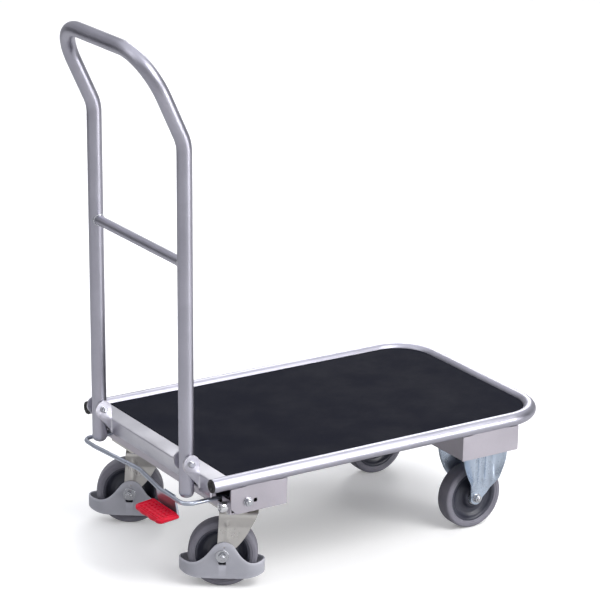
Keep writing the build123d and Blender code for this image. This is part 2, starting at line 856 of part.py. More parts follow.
with BuildPart() as kingpin_nuts:
    for frame in swivel_frames.values():
        hexagon(kingpin_plane(frame, front_beam_bottom), 19.0, 7.5, kingpin_radius)
save(kingpin_nuts, "kingpin_nuts")

fork_tip_radius = 13.0
swivel_cheek_outline = [
    (-6, crown_top),
    (-9, 88),
    (-11, wheel_radius),
    (12, wheel_radius),
    (28, 81),
    (48, 113),
    (63, crown_top),
]
swivel_fork_sides = [(23, 20), (23, 118), (34, 141), (34, crown_top)]


def bent_cheeks(frame, sides_outline, side_view):
    """Both cheeks of a fork, pressed from one sheet: the front view is given for one side, outside face
    first, and the result is kept inside the side view."""
    other_side = [(-across, height) for across, height in reversed(sides_outline)]
    front = Plane(origin=frame.origin, x_dir=frame.y_dir, z_dir=frame.x_dir)
    with BuildSketch(front) as bent:
        Polygon(*sides_outline, *other_side, align=None)
        offset(amount=-sheet, kind=Kind.INTERSECTION, mode=Mode.SUBTRACT)
    extrude(bent.sketch, amount=90, both=True)
    with BuildSketch(lengthwise(frame, 60)) as profile:
        Polygon(*side_view, align=None)
        with Locations((0, wheel_radius)):
            Circle(fork_tip_radius)
    extrude(profile.sketch, amount=120, mode=Mode.INTERSECT)


def drill_axle(frame, reach, radius=axle_radius + 0.1):
    with BuildSketch(lengthwise(frame, reach)) as hole:
        with Locations((0, wheel_radius)):
            Circle(radius)
    extrude(hole.sketch, amount=2 * reach, mode=Mode.SUBTRACT)


for name in sides:
    frame = swivel_frames[name]
    with BuildPart() as swivel_fork:
        bent_cheeks(frame, swivel_fork_sides, swivel_cheek_outline)
        disc(kingpin_plane(frame, crown_bottom), lower_race[1] + 2, crown_thickness)
        disc(kingpin_plane(frame, crown_top), lower_race[1], lower_race_top - crown_top)
        with BuildSketch(kingpin_plane(frame, crown_bottom)):
            Circle(kingpin_radius + running)
        extrude(amount=lower_race_top - crown_bottom, mode=Mode.SUBTRACT)
        ball_groove(frame, 0)
        drill_axle(frame, swivel_cheek[1] + 4)
    save(swivel_fork, f"swivel_fork_{name}")

    with BuildPart() as swivel_balls:
        for ball in range(ball_count):
            angle = radians(360 * ball / ball_count)
            spot = Vector(trail + ball_circle * cos(angle), ball_circle * sin(angle), ball_height)
            with Locations(frame.from_local_coords(spot)):
                Sphere(ball_radius)
    save(swivel_balls, f"swivel_balls_{name}")

# Foot guards: a plastic ring round each front wheel, held by the axle's nuts.
guard_wall = 3.0
guard_half_width = 26.0
guard_ends = (-78.0, 75.0)
guard_end_length = 34.0
guard_bottom = [(-78, 29), (-58, 22.5), (-37, 19.5), (37, 19.5), (58, 22.5), (75, 27)]
guard_top = [
    (75, 51.5), (66, 49.8), (56, 48.8), (46, 51.5), (34, 61), (22, 81), (3, 89),
    (-16, 81), (-31, 61), (-44, 51.5), (-57, 48.8), (-67, 49.8), (-78, 51.5),
]
guard_hole = (3.0, 79.0)
guard_slot = (0.0, 49.0)


def oval(frame, height, inset):
    """A level outline with straight sides and elliptical ends."""
    low, high = guard_ends
    half = guard_half_width - inset
    reach = guard_end_length - inset
    with BuildSketch(frame.offset(height)) as outline:
        with Locations(((low + high) / 2, 0)):
            Rectangle(high - low - 2 * guard_end_length, 2 * half)
        with Locations((low + guard_end_length, 0), (high - guard_end_length, 0)):
            Ellipse(reach, half)
    return outline.sketch


for name in sides:
    frame = swivel_frames[name]
    with BuildPart() as swivel_guard:
        extrude(oval(frame, guard_bottom[2][1] - 1, 0), amount=80)
        extrude(oval(frame, guard_bottom[2][1] - 1, guard_wall), amount=80, mode=Mode.SUBTRACT)
        with BuildSketch(lengthwise(frame, guard_half_width + 5)) as side_view:
            with BuildLine():
                Polyline((-90, 32), *guard_bottom, (90, 30))
                Line((90, 30), (90, 75))
                Line((90, 75), guard_top[0])
                Spline(*guard_top)
                Line(guard_top[-1], (-90, 75))
                Line((-90, 75), (-90, 32))
            make_face()
        extrude(side_view.sketch, amount=2 * (guard_half_width + 5), mode=Mode.INTERSECT)
        with BuildSketch(lengthwise(frame, guard_half_width + 5)) as cuts:
            with Locations(guard_hole):
                Circle(2.0)
            with Locations(guard_slot):
                SlotOverall(13, 7)
        extrude(cuts.sketch, amount=2 * (guard_half_width + 5), mode=Mode.SUBTRACT)
        drill_axle(frame, guard_half_width + 5)
    save(swivel_guard, f"swivel_guard_{name}")


axle_washer = (12.5, 1.5)
axle_flats = 13.0


def build_axle(frame, inner, bearing_face, part):
    """Adds one piece of an axle: its sleeve, its bolt, or its nut and washers."""
    if part == "sleeve":
        disc(along_axle(frame, -inner, 1), axle_sleeve_radius, 2 * inner, axle_radius)
    seat = bearing_face + axle_washer[1]
    if part == "bolt":
        hexagon(along_axle(frame, -seat, -1), axle_flats, 5.3)
        disc(along_axle(frame, -seat, 1), axle_radius, 2 * seat + nut_height + 2.0)
    if part == "nut":
        for outward_sign in (-1, 1):
            face = along_axle(frame, outward_sign * bearing_face, outward_sign)
            disc(face, axle_washer[0], axle_washer[1], axle_radius)
        hexagon(along_axle(frame, seat, 1), axle_flats, nut_height, axle_radius)


for name in sides:
    frame = swivel_frames[name]
    for part, node in (("sleeve", "swivel_sleeve"), ("bolt", "swivel_axle"), ("nut", "swivel_axle_nut")):
        with BuildPart() as axle_piece:
            build_axle(frame, swivel_cheek[0], guard_half_width, part)
        save(axle_piece, f"{node}_{name}")

for part, node in (("sleeve", "fixed_sleeves"), ("bolt", "fixed_axles"), ("nut", "fixed_axle_nuts")):
    with BuildPart() as axle_piece:
        for frame in fixed_frames.values():
            build_axle(frame, fixed_cheek[0], fixed_cheek[1], part)
    save(axle_piece, node)

fixed_plate_bottom = rear_beam_bottom - plate_thickness
fixed_outline = [
    (-46, fixed_plate_bottom),
    (-45, 150),
    (-38, 125),
    (-31, 108),
    (-18, 84),
    (-14, 76),
    (-12, wheel_radius),
    (12, 57),
    (25, 72),
    (37, 92),
    (44, 112),
    (51, 135),
    (54, fixed_plate_bottom),
]
fixed_fork_sides = [(25, 20), (25, 80), (41, 106), (41, fixed_plate_bottom + sheet)]
for name, side in sides.items():
    frame = fixed_frames[name]
    holes = [place for place in fixed_places if place[1] * side > 0]
    centre = (station(fixed_plate_station), side * fixed_y)
    with BuildPart() as fixed_fork:
        bent_cheeks(frame, fixed_fork_sides, fixed_outline)
        castor_plate(centre, rear_beam_bottom, fixed_plate_size, holes)
        drill_axle(frame, fixed_cheek[1] + 4)
    save(fixed_fork, f"fixed_fork_{name}")
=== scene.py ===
"""The looks of the folding platform cart: materials on the CAD nodes, finer meshes in place of the handle
tube, wheels, forks, guards, pedal, fasteners, plugs and bosses, and a plain studio. Shapes are worked out in
millimetres and scaled to metres by piece_from, all in the CAD frame."""

import json
import math

import bmesh
import bpy
from mathutils import Matrix, Vector


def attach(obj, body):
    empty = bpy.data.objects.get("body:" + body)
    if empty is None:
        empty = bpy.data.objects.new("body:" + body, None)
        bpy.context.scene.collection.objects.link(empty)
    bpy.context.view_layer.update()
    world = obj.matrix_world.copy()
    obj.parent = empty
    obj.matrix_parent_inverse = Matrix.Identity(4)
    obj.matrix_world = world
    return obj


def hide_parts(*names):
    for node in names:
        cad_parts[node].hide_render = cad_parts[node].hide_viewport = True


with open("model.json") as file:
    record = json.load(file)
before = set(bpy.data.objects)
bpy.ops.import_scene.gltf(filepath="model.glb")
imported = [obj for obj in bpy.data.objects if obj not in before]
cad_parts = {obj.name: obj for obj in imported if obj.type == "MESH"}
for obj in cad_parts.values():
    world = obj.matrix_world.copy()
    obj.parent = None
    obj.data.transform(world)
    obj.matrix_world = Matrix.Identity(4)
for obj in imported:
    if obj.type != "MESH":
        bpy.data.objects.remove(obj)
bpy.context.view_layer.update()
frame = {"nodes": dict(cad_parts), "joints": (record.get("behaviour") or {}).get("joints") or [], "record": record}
MM = 0.001
SIDES = ("right", "left")
nodes = frame["nodes"]
joints = {joint["name"]: joint for joint in frame["joints"]}

# ---------------------------------------------------------------- camera, light and floor

CAMERA_PLACE = Vector((-2.5512, -3.8674, 1.9769))
CAMERA_YAW = math.radians(-33.44)
CAMERA_PITCH = math.radians(18.26)
CAMERA_ROLL = math.radians(1.23)
CAMERA_LENS = 160.1


def build_camera():
    back = Vector((
        math.sin(CAMERA_YAW) * math.cos(CAMERA_PITCH),
        -math.cos(CAMERA_YAW) * math.cos(CAMERA_PITCH),
        math.sin(CAMERA_PITCH),
    ))
    level_right = (-back).cross(Vector((0, 0, 1))).normalized()
    level_up = level_right.cross(-back)
    right = math.cos(CAMERA_ROLL) * level_right + math.sin(CAMERA_ROLL) * level_up
    up = math.cos(CAMERA_ROLL) * level_up - math.sin(CAMERA_ROLL) * level_right
    data = bpy.data.cameras.new("camera")
    data.lens = CAMERA_LENS
    data.sensor_width = 36
    data.clip_end = 60
    camera = bpy.data.objects.new("camera", data)
    axes = Matrix((right, up, back)).transposed().to_4x4()
    camera.matrix_world = Matrix.Translation(CAMERA_PLACE) @ axes
    bpy.context.scene.collection.objects.link(camera)
    bpy.context.scene.camera = camera


def area_light(name, place, target, size, power, colour=(1, 1, 1)):
    data = bpy.data.lights.new(name, "AREA")
    data.shape = "RECTANGLE"
    data.size, data.size_y = size
    data.energy = power
    data.color = colour
    lamp = bpy.data.objects.new(name, data)
    lamp.location = place
    lamp.rotation_euler = (Vector(target) - Vector(place)).to_track_quat("-Z", "Y").to_euler()
    bpy.context.scene.collection.objects.link(lamp)


def build_world():
    """A grey room with a brighter ceiling."""
    world = bpy.data.worlds.new("studio")
    world.use_nodes = True
    tree = world.node_tree
    direction = tree.nodes.new("ShaderNodeTexCoord")
    split = tree.nodes.new("ShaderNodeSeparateXYZ")
    strength = tree.nodes.new("ShaderNodeMapRange")
    for key, value in zip(("From Min", "From Max", "To Min", "To Max"), (0.15, 0.95, 0.38, 1.25)):
        strength.inputs[key].default_value = value
    background = tree.nodes["Background"]
    background.inputs["Color"].default_value = (0.95, 0.96, 1.0, 1)
    tree.links.new(direction.outputs["Generated"], split.inputs["Vector"])
    tree.links.new(split.outputs["Z"], strength.inputs["Value"])
    tree.links.new(strength.outputs["Result"], background.inputs["Strength"])
    bpy.context.scene.world = world


CARD_DISTANCE = 2.8
FLOOR_INNER = 0.2
FLOOR_REACH = 9.0
FLOOR_FLAT = 5.0
FLOOR_HEIGHT = 7.0
FLOOR_COVE = 2.5
FLOOR_SEEN = 0.92
FLOOR_MIRRORED = 0.54
FLOOR_GLOW = 0.2


def plain_paint(name, roughness):
    """A new material and its shader."""
    paint = bpy.data.materials.new(name)
    paint.use_nodes = True
    shader = paint.node_tree.nodes["Principled BSDF"]
    shader.inputs["Roughness"].default_value = roughness
    return paint, shader


def dark_card(name, bearing, width, height):
    """A dark card standing beside the object, this many degrees round from the camera. Only reflections show
    it: it gives the bright tubes their dark edges."""
    turn = CAMERA_YAW - math.pi / 2 + math.radians(bearing)
    centre = Vector((math.cos(turn), math.sin(turn), 0)) * CARD_DISTANCE
    across = Vector((-math.sin(turn), math.cos(turn), 0)) * width / 2
    data = bpy.data.meshes.new(name)
    foot = [centre - across, centre + across]
    head = [corner + Vector((0, 0, height)) for corner in reversed(foot)]
    data.from_pydata(foot + head, [], [(0, 1, 2, 3)])
    card = bpy.data.objects.new(name, data)
    bpy.context.scene.collection.objects.link(card)
    paint, shader = plain_paint(name, 0.9)
    shader.inputs["Base Color"].default_value = (0.13, 0.13, 0.14, 1)
    data.materials.append(paint)
    card.visible_camera = False
    card.visible_shadow = False


def build_studio():
    bpy.context.scene.view_settings.view_transform = "Standard"
    build_world()
    middle = (0, 0, 0.35)
    area_light("key", (0.9, -2.6, 3.6), middle, (2.2, 2.2), 104, (1.0, 0.99, 0.98))
    area_light("side", (-3.2, 0.6, 3.0), middle, (0.9, 2.4), 14)
    area_light("front", (1.7, -2.9, 0.9), middle, (1.0, 1.5), 42)
    area_light("rim", (2.6, 2.8, 2.4), middle, (1.4, 2.6), 46)
    dark_card("left_card", -108, 2.4, 1.2)
    dark_card("right_card", 100, 1.8, 2.3)
    build_floor()


def build_floor():
    """A white floor that curves up all round like a shallow bowl."""
    floor_mesh = bmesh.new()
    rings, around = 26, 96
    rows = []
    for ring in range(rings):
        radius = FLOOR_INNER + FLOOR_REACH * ring / (rings - 1)
        lift = max(0, radius - FLOOR_FLAT) ** 2 / FLOOR_COVE
        row = []
        for k in range(around):
            angle = 2 * math.pi * k / around
            place = (radius * math.cos(angle), radius * math.sin(angle), min(lift, FLOOR_HEIGHT))
            row.append(floor_mesh.verts.new(place))
        rows.append(row)
    floor_mesh.faces.new(rows[0])
    for inner, outer in zip(rows, rows[1:]):
        for k in range(around):
            after = (k + 1) % around
            floor_mesh.faces.new((inner[k], outer[k], outer[after], inner[after]))
    data = bpy.data.meshes.new("studio_floor")
    floor_mesh.to_mesh(data)
    floor_mesh.free()
    data.polygons.foreach_set("use_smooth", [True] * len(data.polygons))
    floor = bpy.data.objects.new("studio_floor", data)
    bpy.context.scene.collection.objects.link(floor)
    paint, shader = plain_paint("studio_floor", 0.85)
    shader.inputs["Emission Color"].default_value = (1, 1, 1, 1)
    # White to the camera, a mid grey in what the metal mirrors.
    links = paint.node_tree.links
    ray = paint.node_tree.nodes.new("ShaderNodeLightPath")
    tones = (("Base Color", FLOOR_SEEN, FLOOR_MIRRORED), ("Emission Strength", FLOOR_GLOW, 0.0))
    for socket, seen, reflected in tones:
        tone = paint.node_tree.nodes.new("ShaderNodeMapRange")
        tone.inputs["To Min"].default_value = reflected
        tone.inputs["To Max"].default_value = seen
        links.new(ray.outputs["Is Camera Ray"], tone.inputs["Value"])
        links.new(tone.outputs["Result"], shader.inputs[socket])
    data.materials.append(paint)


# ---------------------------------------------------------------- materials


class Graph:
    """A material's node tree, with short calls for the nodes used here."""

    def __init__(self, name, rough, metallic=0.0, specular=0.5):
        self.material = bpy.data.materials.new(name)
        self.material.use_nodes = True
        self.tree = self.material.node_tree
        self.shader = self.tree.nodes["Principled BSDF"]
        self.shader.inputs["Roughness"].default_value = rough
        self.shader.inputs["Metallic"].default_value = metallic
        self.shader.inputs["Specular IOR Level"].default_value = specular
        self.place = self.node("ShaderNodeTexCoord").outputs["Object"]

    def node(self, kind, **settings):
        made = self.tree.nodes.new(kind)
        for key, value in settings.items():
            setattr(made, key, value)
        return made

    def link(self, source, target):
        self.tree.links.new(source, target)

    def stretched(self, scale):
        """Object coordinates with a scale for each axis."""
        mapping = self.node("ShaderNodeMapping")
        mapping.inputs["Scale"].default_value = scale
        self.link(self.place, mapping.inputs["Vector"])
        return mapping.outputs["Vector"]

    def noise(self, scale, detail, vector=None, roughness=0.5):
        made = self.node("ShaderNodeTexNoise")
        made.inputs["Scale"].default_value = scale
        made.inputs["Detail"].default_value = detail
        made.inputs["Roughness"].default_value = roughness
        self.link(vector or self.place, made.inputs["Vector"])
        return made.outputs["Fac"]

    def ramp(self, source, low, high, dark=0.0, light=1.0):
        """Maps low..high of the source onto dark..light."""
        made = self.node("ShaderNodeMapRange", interpolation_type="SMOOTHSTEP")
        for key, value in zip(("From Min", "From Max", "To Min", "To Max"), (low, high, dark, light)):
            made.inputs[key].default_value = value
        self.link(source, made.inputs["Value"])
        return made.outputs["Result"]

    def mix(self, amount, first, second):
        made = self.node("ShaderNodeMix", data_type="RGBA")
        for value, key in ((amount, 0), (first, 6), (second, 7)):
            if isinstance(value, (tuple, float, int)):
                made.inputs[key].default_value = (*value, 1) if isinstance(value, tuple) else value
            else:
                self.link(value, made.inputs[key])
        return made.outputs[2]

    def combine(self, first, second, operation="ADD"):
        made = self.node("ShaderNodeMath", operation=operation)
        for index, value in enumerate((first, second)):
            if isinstance(value, (float, int)):
                made.inputs[index].default_value = value
            else:
                self.link(value, made.inputs[index])
        return made.outputs["Value"]

    def wear(self, low, high):
        """Bright on edges that stand out."""
        return self.ramp(self.node("ShaderNodeNewGeometry").outputs["Pointiness"], low, high)

    def finish(self, colour, rough, height, strength, distance, edge=0.0):
        """Joins up the shader. edge is the radius, in metres, that sharp edges seem to have."""
        self.link(colour, self.shader.inputs["Base Color"])
        self.link(rough, self.shader.inputs["Roughness"])
        bump = self.node("ShaderNodeBump")
        bump.inputs["Strength"].default_value = strength
        bump.inputs["Distance"].default_value = distance
        self.link(height, bump.inputs["Height"])
        if edge:
            soft_edge = self.node("ShaderNodeBevel", samples=4)
            soft_edge.inputs["Radius"].default_value = edge
            self.link(soft_edge.outputs["Normal"], bump.inputs["Normal"])
        self.link(bump.outputs["Normal"], self.shader.inputs["Normal"])
        return self.material


def satin_metal(name, light, dark, rough, edge=0.0):
    """Anodised or plated metal: cloudy colour, a fine etched grain and rubbed edges."""
    graph = Graph(name, rough, 1.0)
    cloud = graph.noise(14, 5, roughness=0.6)
    grain = graph.noise(420, 3)
    rubbed = graph.combine(graph.wear(0.51, 0.56), 0.35, "MULTIPLY")
    colour = graph.mix(graph.ramp(cloud, 0.3, 0.7), dark, light)
    colour = graph.mix(graph.ramp(grain, 0.35, 0.75, 0, 0.08), colour, tuple(0.8 * c for c in dark))
    colour = graph.mix(rubbed, colour, tuple(min(1, 1.12 * c) for c in light))
    gloss = graph.ramp(cloud, 0.3, 0.7, rough - 0.03, rough + 0.04)
    gloss = graph.combine(gloss, graph.ramp(grain, 0.3, 0.7, -0.02, 0.03))
    return graph.finish(colour, gloss, grain, 0.03, 0.00003, edge)


def zinc(name, light, dark, rough, edge=0.0):
    """Zinc plating with a soft spangle."""
    graph = Graph(name, rough, 0.92)
    cells = graph.node("ShaderNodeTexVoronoi", feature="F1")
    cells.inputs["Scale"].default_value = 130
    graph.link(graph.place, cells.inputs["Vector"])
    spangle = graph.node("ShaderNodeSeparateColor")
    graph.link(cells.outputs["Color"], spangle.inputs["Color"])
    cloud = graph.noise(30, 5, roughness=0.6)
    sparkle = graph.combine(spangle.outputs[0], 0.1, "MULTIPLY")
    mottled = graph.combine(graph.ramp(cloud, 0.3, 0.7, 0.45, 0.75), sparkle)
    colour = graph.mix(mottled, dark, light)
    scratches = graph.noise(700, 3, graph.stretched((1, 1, 0.12)))
    gloss = graph.ramp(cloud, 0.3, 0.7, rough - 0.02, rough + 0.03)
    gloss = graph.combine(gloss, graph.ramp(scratches, 0.4, 0.7, -0.01, 0.02))
    return graph.finish(colour, gloss, scratches, 0.012, 0.00003, edge)


def moulded_plastic(name, light, dark, rough, specular=0.5):
    """Moulded plastic with a fine grain, faint flow marks and scuffed edges."""
    graph = Graph(name, rough, specular=specular)
    cloud = graph.noise(18, 4)
    texture = graph.noise(1800, 2)
    scuffs = graph.noise(260, 6, graph.stretched((1, 0.25, 1)), roughness=0.7)
    colour = graph.mix(graph.ramp(cloud, 0.3, 0.7), dark, light)
    rubbed = graph.combine(graph.wear(0.505, 0.54), 0.35, "MULTIPLY")
    colour = graph.mix(rubbed, colour, tuple(min(1, 1.5 * c + 0.01) for c in light))
    gloss = graph.ramp(cloud, 0.3, 0.7, rough - 0.04, rough + 0.05)
    gloss = graph.combine(gloss, graph.ramp(scuffs, 0.55, 0.75, 0, 0.12))
    return graph.finish(colour, gloss, texture, 0.12, 0.0002)


def tyre_rubber():
    """Grey rubber with a light dust."""
    graph = Graph("tyre_rubber", 0.55, specular=0.4)
    cloud = graph.noise(22, 5, roughness=0.6)
    texture = graph.noise(1500, 3)
    dust = graph.noise(90, 6, roughness=0.7)
    colour = graph.mix(graph.ramp(cloud, 0.3, 0.7), (0.165, 0.161, 0.195), (0.215, 0.21, 0.25))
    colour = graph.mix(graph.ramp(dust, 0.55, 0.8, 0, 0.25), colour, (0.24, 0.235, 0.24))
    gloss = graph.ramp(dust, 0.3, 0.8, 0.42, 0.62)
    return graph.finish(colour, gloss, texture, 0.15, 0.0002)


def deck_board():
    """The board's dark anti-slip face: a fine pressed mesh, a little dusty."""
    graph = Graph("deck_board", 0.75, specular=0.05)
    mesh = []
    for turn in (32, -32):
        angled = graph.node("ShaderNodeMapping")
        angled.inputs["Rotation"].default_value = (0, 0, math.radians(turn))
        graph.link(graph.place, angled.inputs["Vector"])
        bands = graph.node("ShaderNodeTexWave", wave_type="BANDS", bands_direction="X")
        bands.inputs["Scale"].default_value = 145
        bands.inputs["Distortion"].default_value = 0.35
        bands.inputs["Detail"].default_value = 1.0
        graph.link(angled.outputs["Vector"], bands.inputs["Vector"])
        mesh.append(bands.outputs["Fac"])
    wires = graph.combine(mesh[0], mesh[1], "MAXIMUM")
    cloud = graph.noise(9, 6, roughness=0.65)
    specks = graph.noise(700, 3)
    colour = graph.mix(graph.ramp(cloud, 0.3, 0.75), (0.0038, 0.0044, 0.0100), (0.0054, 0.0062, 0.0125))
    colour = graph.mix(graph.ramp(wires, 0.55, 0.95, 0, 0.45), colour, (0.0095, 0.0106, 0.0185))
    colour = graph.mix(graph.ramp(specks, 0.62, 0.78, 0, 0.5), colour, (0.024, 0.026, 0.036))
    gloss = graph.ramp(cloud, 0.3, 0.7, 0.66, 0.80)
    height = graph.combine(wires, graph.combine(specks, 0.6, "MULTIPLY"))
    return graph.finish(colour, gloss, height, 0.5, 0.0003)


SHEET_EDGE = 0.0006


def build_materials():
    """The record's material slots."""
    tube = satin_metal("satin_tube", (0.462, 0.4565, 0.5225), (0.396, 0.3905, 0.451), 0.37)
    sheet = satin_metal("satin_sheet", (0.5051, 0.4776, 0.527), (0.4392, 0.4172, 0.4612), 0.38, SHEET_EDGE)
    return {
        "aluminium_tube": tube,
        "end_plastic": moulded_plastic("black_plastic", (0.014, 0.013, 0.014), (0.009, 0.009, 0.010), 0.4),
        "deck_board": deck_board(),
        "beam_steel": sheet,
        "hinge_steel": satin_metal(
            "hinge_sheet", (0.66, 0.654, 0.702), (0.564, 0.558, 0.606), 0.33, SHEET_EDGE),
        "zinc_bolt": zinc("zinc_bolt", (0.60, 0.61, 0.64), (0.40, 0.41, 0.45), 0.24, 0.0004),
        "bail_steel": zinc("bail_zinc", (0.529, 0.5635, 0.644), (0.391, 0.4255, 0.506), 0.30),
        "pedal_red": moulded_plastic(
            "pedal_red", (0.575, 0.0037, 0.0275), (0.4125, 0.0025, 0.0187), 0.36, specular=0.22),
        "fork_warm": zinc("warm_zinc", (0.66, 0.6402, 0.6138), (0.5016, 0.4884, 0.4752), 0.30, SHEET_EDGE),
        "fork_blue": zinc("blue_zinc", (0.546, 0.6175, 0.728), (0.39, 0.4615, 0.559), 0.27, SHEET_EDGE),
        "guard_grey": moulded_plastic("guard_grey", (0.43, 0.4341, 0.4846), (0.3685, 0.3726, 0.4204), 0.5),
        "tyre_grey": tyre_rubber(),
        "hub_dark": moulded_plastic("hub_dark", (0.0416, 0.0437, 0.0624), (0.025, 0.027, 0.0416), 0.34),
        "pad_rubber": moulded_plastic("pad_rubber", (0.02, 0.02, 0.02), (0.012, 0.012, 0.012), 0.7),
        "bearing_steel": zinc("bright_steel", (0.80, 0.80, 0.82), (0.66, 0.66, 0.69), 0.16),
    }


def paint_nodes(materials):
    for row in frame["record"]["subparts"]:
        data = nodes[row["node"]].data
        data.materials.clear()
        data.materials.append(materials[row["material_slot"]])


# ---------------------------------------------------------------- mesh tools


def rounded(points, radii, steps):
    """A 2-D outline whose corners are turned into arcs. A radius of 0 keeps a corner sharp."""
    result = []
    count = len(points)
    for index, (corner, radius) in enumerate(zip(points, radii)):
        here = Vector(corner)
        if not radius:
            result.append(here)
            continue
        to_last = Vector(points[index - 1]) - here
        to_next = Vector(points[(index + 1) % count]) - here
        half = to_last.angle(to_next) / 2
        reach = min(radius / math.tan(half), 0.49 * to_last.length, 0.49 * to_next.length)
        true_radius = reach * math.tan(half)
        bisector = (to_last.normalized() + to_next.normalized()).normalized()
        centre = here + bisector * true_radius / math.sin(half)
        start = here + to_last.normalized() * reach - centre
        end = here + to_next.normalized() * reach - centre
        sweep = start.angle_signed(end)
        for step in range(steps + 1):
            turn = -sweep * step / steps
            result.append(centre + Vector((
                start.x * math.cos(turn) - start.y * math.sin(turn),
                start.x * math.sin(turn) + start.y * math.cos(turn),
            )))
    return result


def piece_from(mesh, name, body, slot, replaced=(), sharp=40):
    """Turns a bmesh in millimetres into a finished piece that rides on a body."""
    bmesh.ops.remove_doubles(mesh, verts=mesh.verts, dist=1e-5)
    bmesh.ops.recalc_face_normals(mesh, faces=mesh.faces)
    bmesh.ops.scale(mesh, vec=(MM, MM, MM), verts=mesh.verts)
    data = bpy.data.meshes.new(name)
    mesh.to_mesh(data)
    mesh.free()
    data.polygons.foreach_set("use_smooth", [True] * len(data.polygons))
    data.set_sharp_from_angle(angle=math.radians(sharp))
    data.materials.append(materials[slot])
    piece = bpy.data.objects.new(name, data)
    bpy.context.scene.collection.objects.link(piece)
    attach(piece, body)
    if replaced:
        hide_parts(*replaced)
    return piece


def grid_faces(mesh, rows, close_rows=False, close_columns=True):
    """Quads between rows of vertices."""
    pairs = list(zip(rows, rows[1:])) + ([(rows[-1], rows[0])] if close_rows else [])
    for first, second in pairs:
        count = len(first)
        for k in range(count if close_columns else count - 1):
            after = (k + 1) % count
            mesh.faces.new((first[k], first[after], second[after], second[k]))


class Axle:
    """A castor's own frame in millimetres. along is the level direction from the axle to the kingpin, or
    to the back on a fixed castor, and across is the axle's own."""

    def __init__(self, spin, along):
        joint = joints[spin]
        self.centre = Vector(joint["pos_m"]) / MM
        self.across = Vector(joint["axis"]).normalized()
        self.along = Vector(along).normalized()

    def at(self, along, across, height):
        """A point: height is above the floor."""
        place = self.centre + self.along * along + self.across * across
        return Vector((place.x, place.y, height))

    def round_axle(self, across, radius, angle):
        """A point this far from the axle's line."""
        spoke = self.along * math.cos(angle) + Vector((0, 0, 1)) * math.sin(angle)
        return self.centre + self.across * across + spoke * radius


def end_faces(mesh, rows):
    """Closes both ends of a stack of rings."""
    mesh.faces.new(rows[0])
    mesh.faces.new(rows[-1])


def lathe(mesh, axle, outline, segments=144):
    """Turns an outline of (across, radius) points round an axle."""
    rows = [
        [mesh.verts.new(axle.round_axle(p[0], p[1], 2 * math.pi * k / segments)) for p in outline]
        for k in range(segments)
    ]
    grid_faces(mesh, rows, close_rows=True)
    return mesh


def plate(mesh, place, outline, near, far, edge):
    """A flat plate with rounded edges. Its 2-D outline runs anticlockwise, and place(u, depth, v) sets a
    point of it in space."""
    rows = []
    step = math.copysign(edge, far - near)
    levels = (
        (near, edge), (near + step * 0.3, edge * 0.3), (near + step, 0),
        (far - step, 0), (far - step * 0.3, edge * 0.3), (far, edge),
    )
    for depth, inset in levels:
        row = []
        for index, point in enumerate(outline):
            before, after = Vector(outline[index - 1]), Vector(outline[(index + 1) % len(outline)])
            direction = (after - before).normalized()
            shrunk = Vector(point) + Vector((-direction.y, direction.x)) * inset
            row.append(mesh.verts.new(place(shrunk.x, depth, shrunk.y)))
        rows.append(row)
    grid_faces(mesh, rows)
    end_faces(mesh, rows)


def hex_fastener(mesh, base, direction, flats, height, washer=0.0, washer_height=1.5, stud=0.0, turn=0.0):
    """A washer, then a nut or bolt head with chamfered corners, and the end of the thread."""
    direction = Vector(direction).normalized()
    side = direction.orthogonal().normalized()
    other = direction.cross(side)
    corner = flats / math.sqrt(3)
    count = 72

    def circle_row(radius, lift):
        return [
            mesh.verts.new(Vector(base) + direction * lift + side * radius * math.cos(2 * math.pi * k / count)
                           + other * radius * math.sin(2 * math.pi * k / count))
            for k in range(count)
        ]

    def hex_row(limit, lift):
        row = []
        for k in range(count):
            angle = 2 * math.pi * k / count + turn
            local = (angle % (math.pi / 3)) - math.pi / 6
            radius = min(flats / 2 / math.cos(local), limit)
            row.append(mesh.verts.new(Vector(base) + direction * lift + side * radius * math.cos(angle)
                                      + other * radius * math.sin(angle)))
        return row

    def solid(rows):
        grid_faces(mesh, rows)
        end_faces(mesh, rows)

    start = 0.0
    if washer:
        solid([circle_row(washer - 0.4, 0), circle_row(washer, 0.4), circle_row(washer, washer_height - 0.4),
               circle_row(washer - 0.4, washer_height)])
        start = washer_height
    top = start + height
    solid([hex_row(corner - 0.2, start), hex_row(corner, start + 0.5), hex_row(corner, top - 1.2),
           hex_row(corner * 0.955, top - 0.5), hex_row(flats / 2 * 0.96, top)])
    if stud:
        solid([circle_row(stud, top - 0.5), circle_row(stud, top + 1.4), circle_row(stud - 0.7, top + 2.0)])


# ---------------------------------------------------------------- wheels

AXLE_HEIGHT = 62.5
TYRE_HALF = 16.0
TYRE_INNER = 49.0


def castor_axles():
    """The four castors' frames, by wheel name."""
    axles = {}
    for side in SIDES:
        spin, turn = joints[f"front_spin_{side}"], joints[f"swivel_turn_{side}"]
        along = Vector(turn["pos_m"]) - Vector(spin["pos_m"])
        along.z = 0
        axles[f"front_{side}"] = Axle(f"front_spin_{side}", along)
        axles[f"rear_{side}"] = Axle(f"rear_spin_{side}", (1, 0, 0))
    return axles


def mirrored(points, radii):
    """Adds the other half of an outline that is drawn for across > 0."""
    other = [(-across, radius) for across, radius in reversed(points)]
    return points + other, list(radii) + list(reversed(radii))


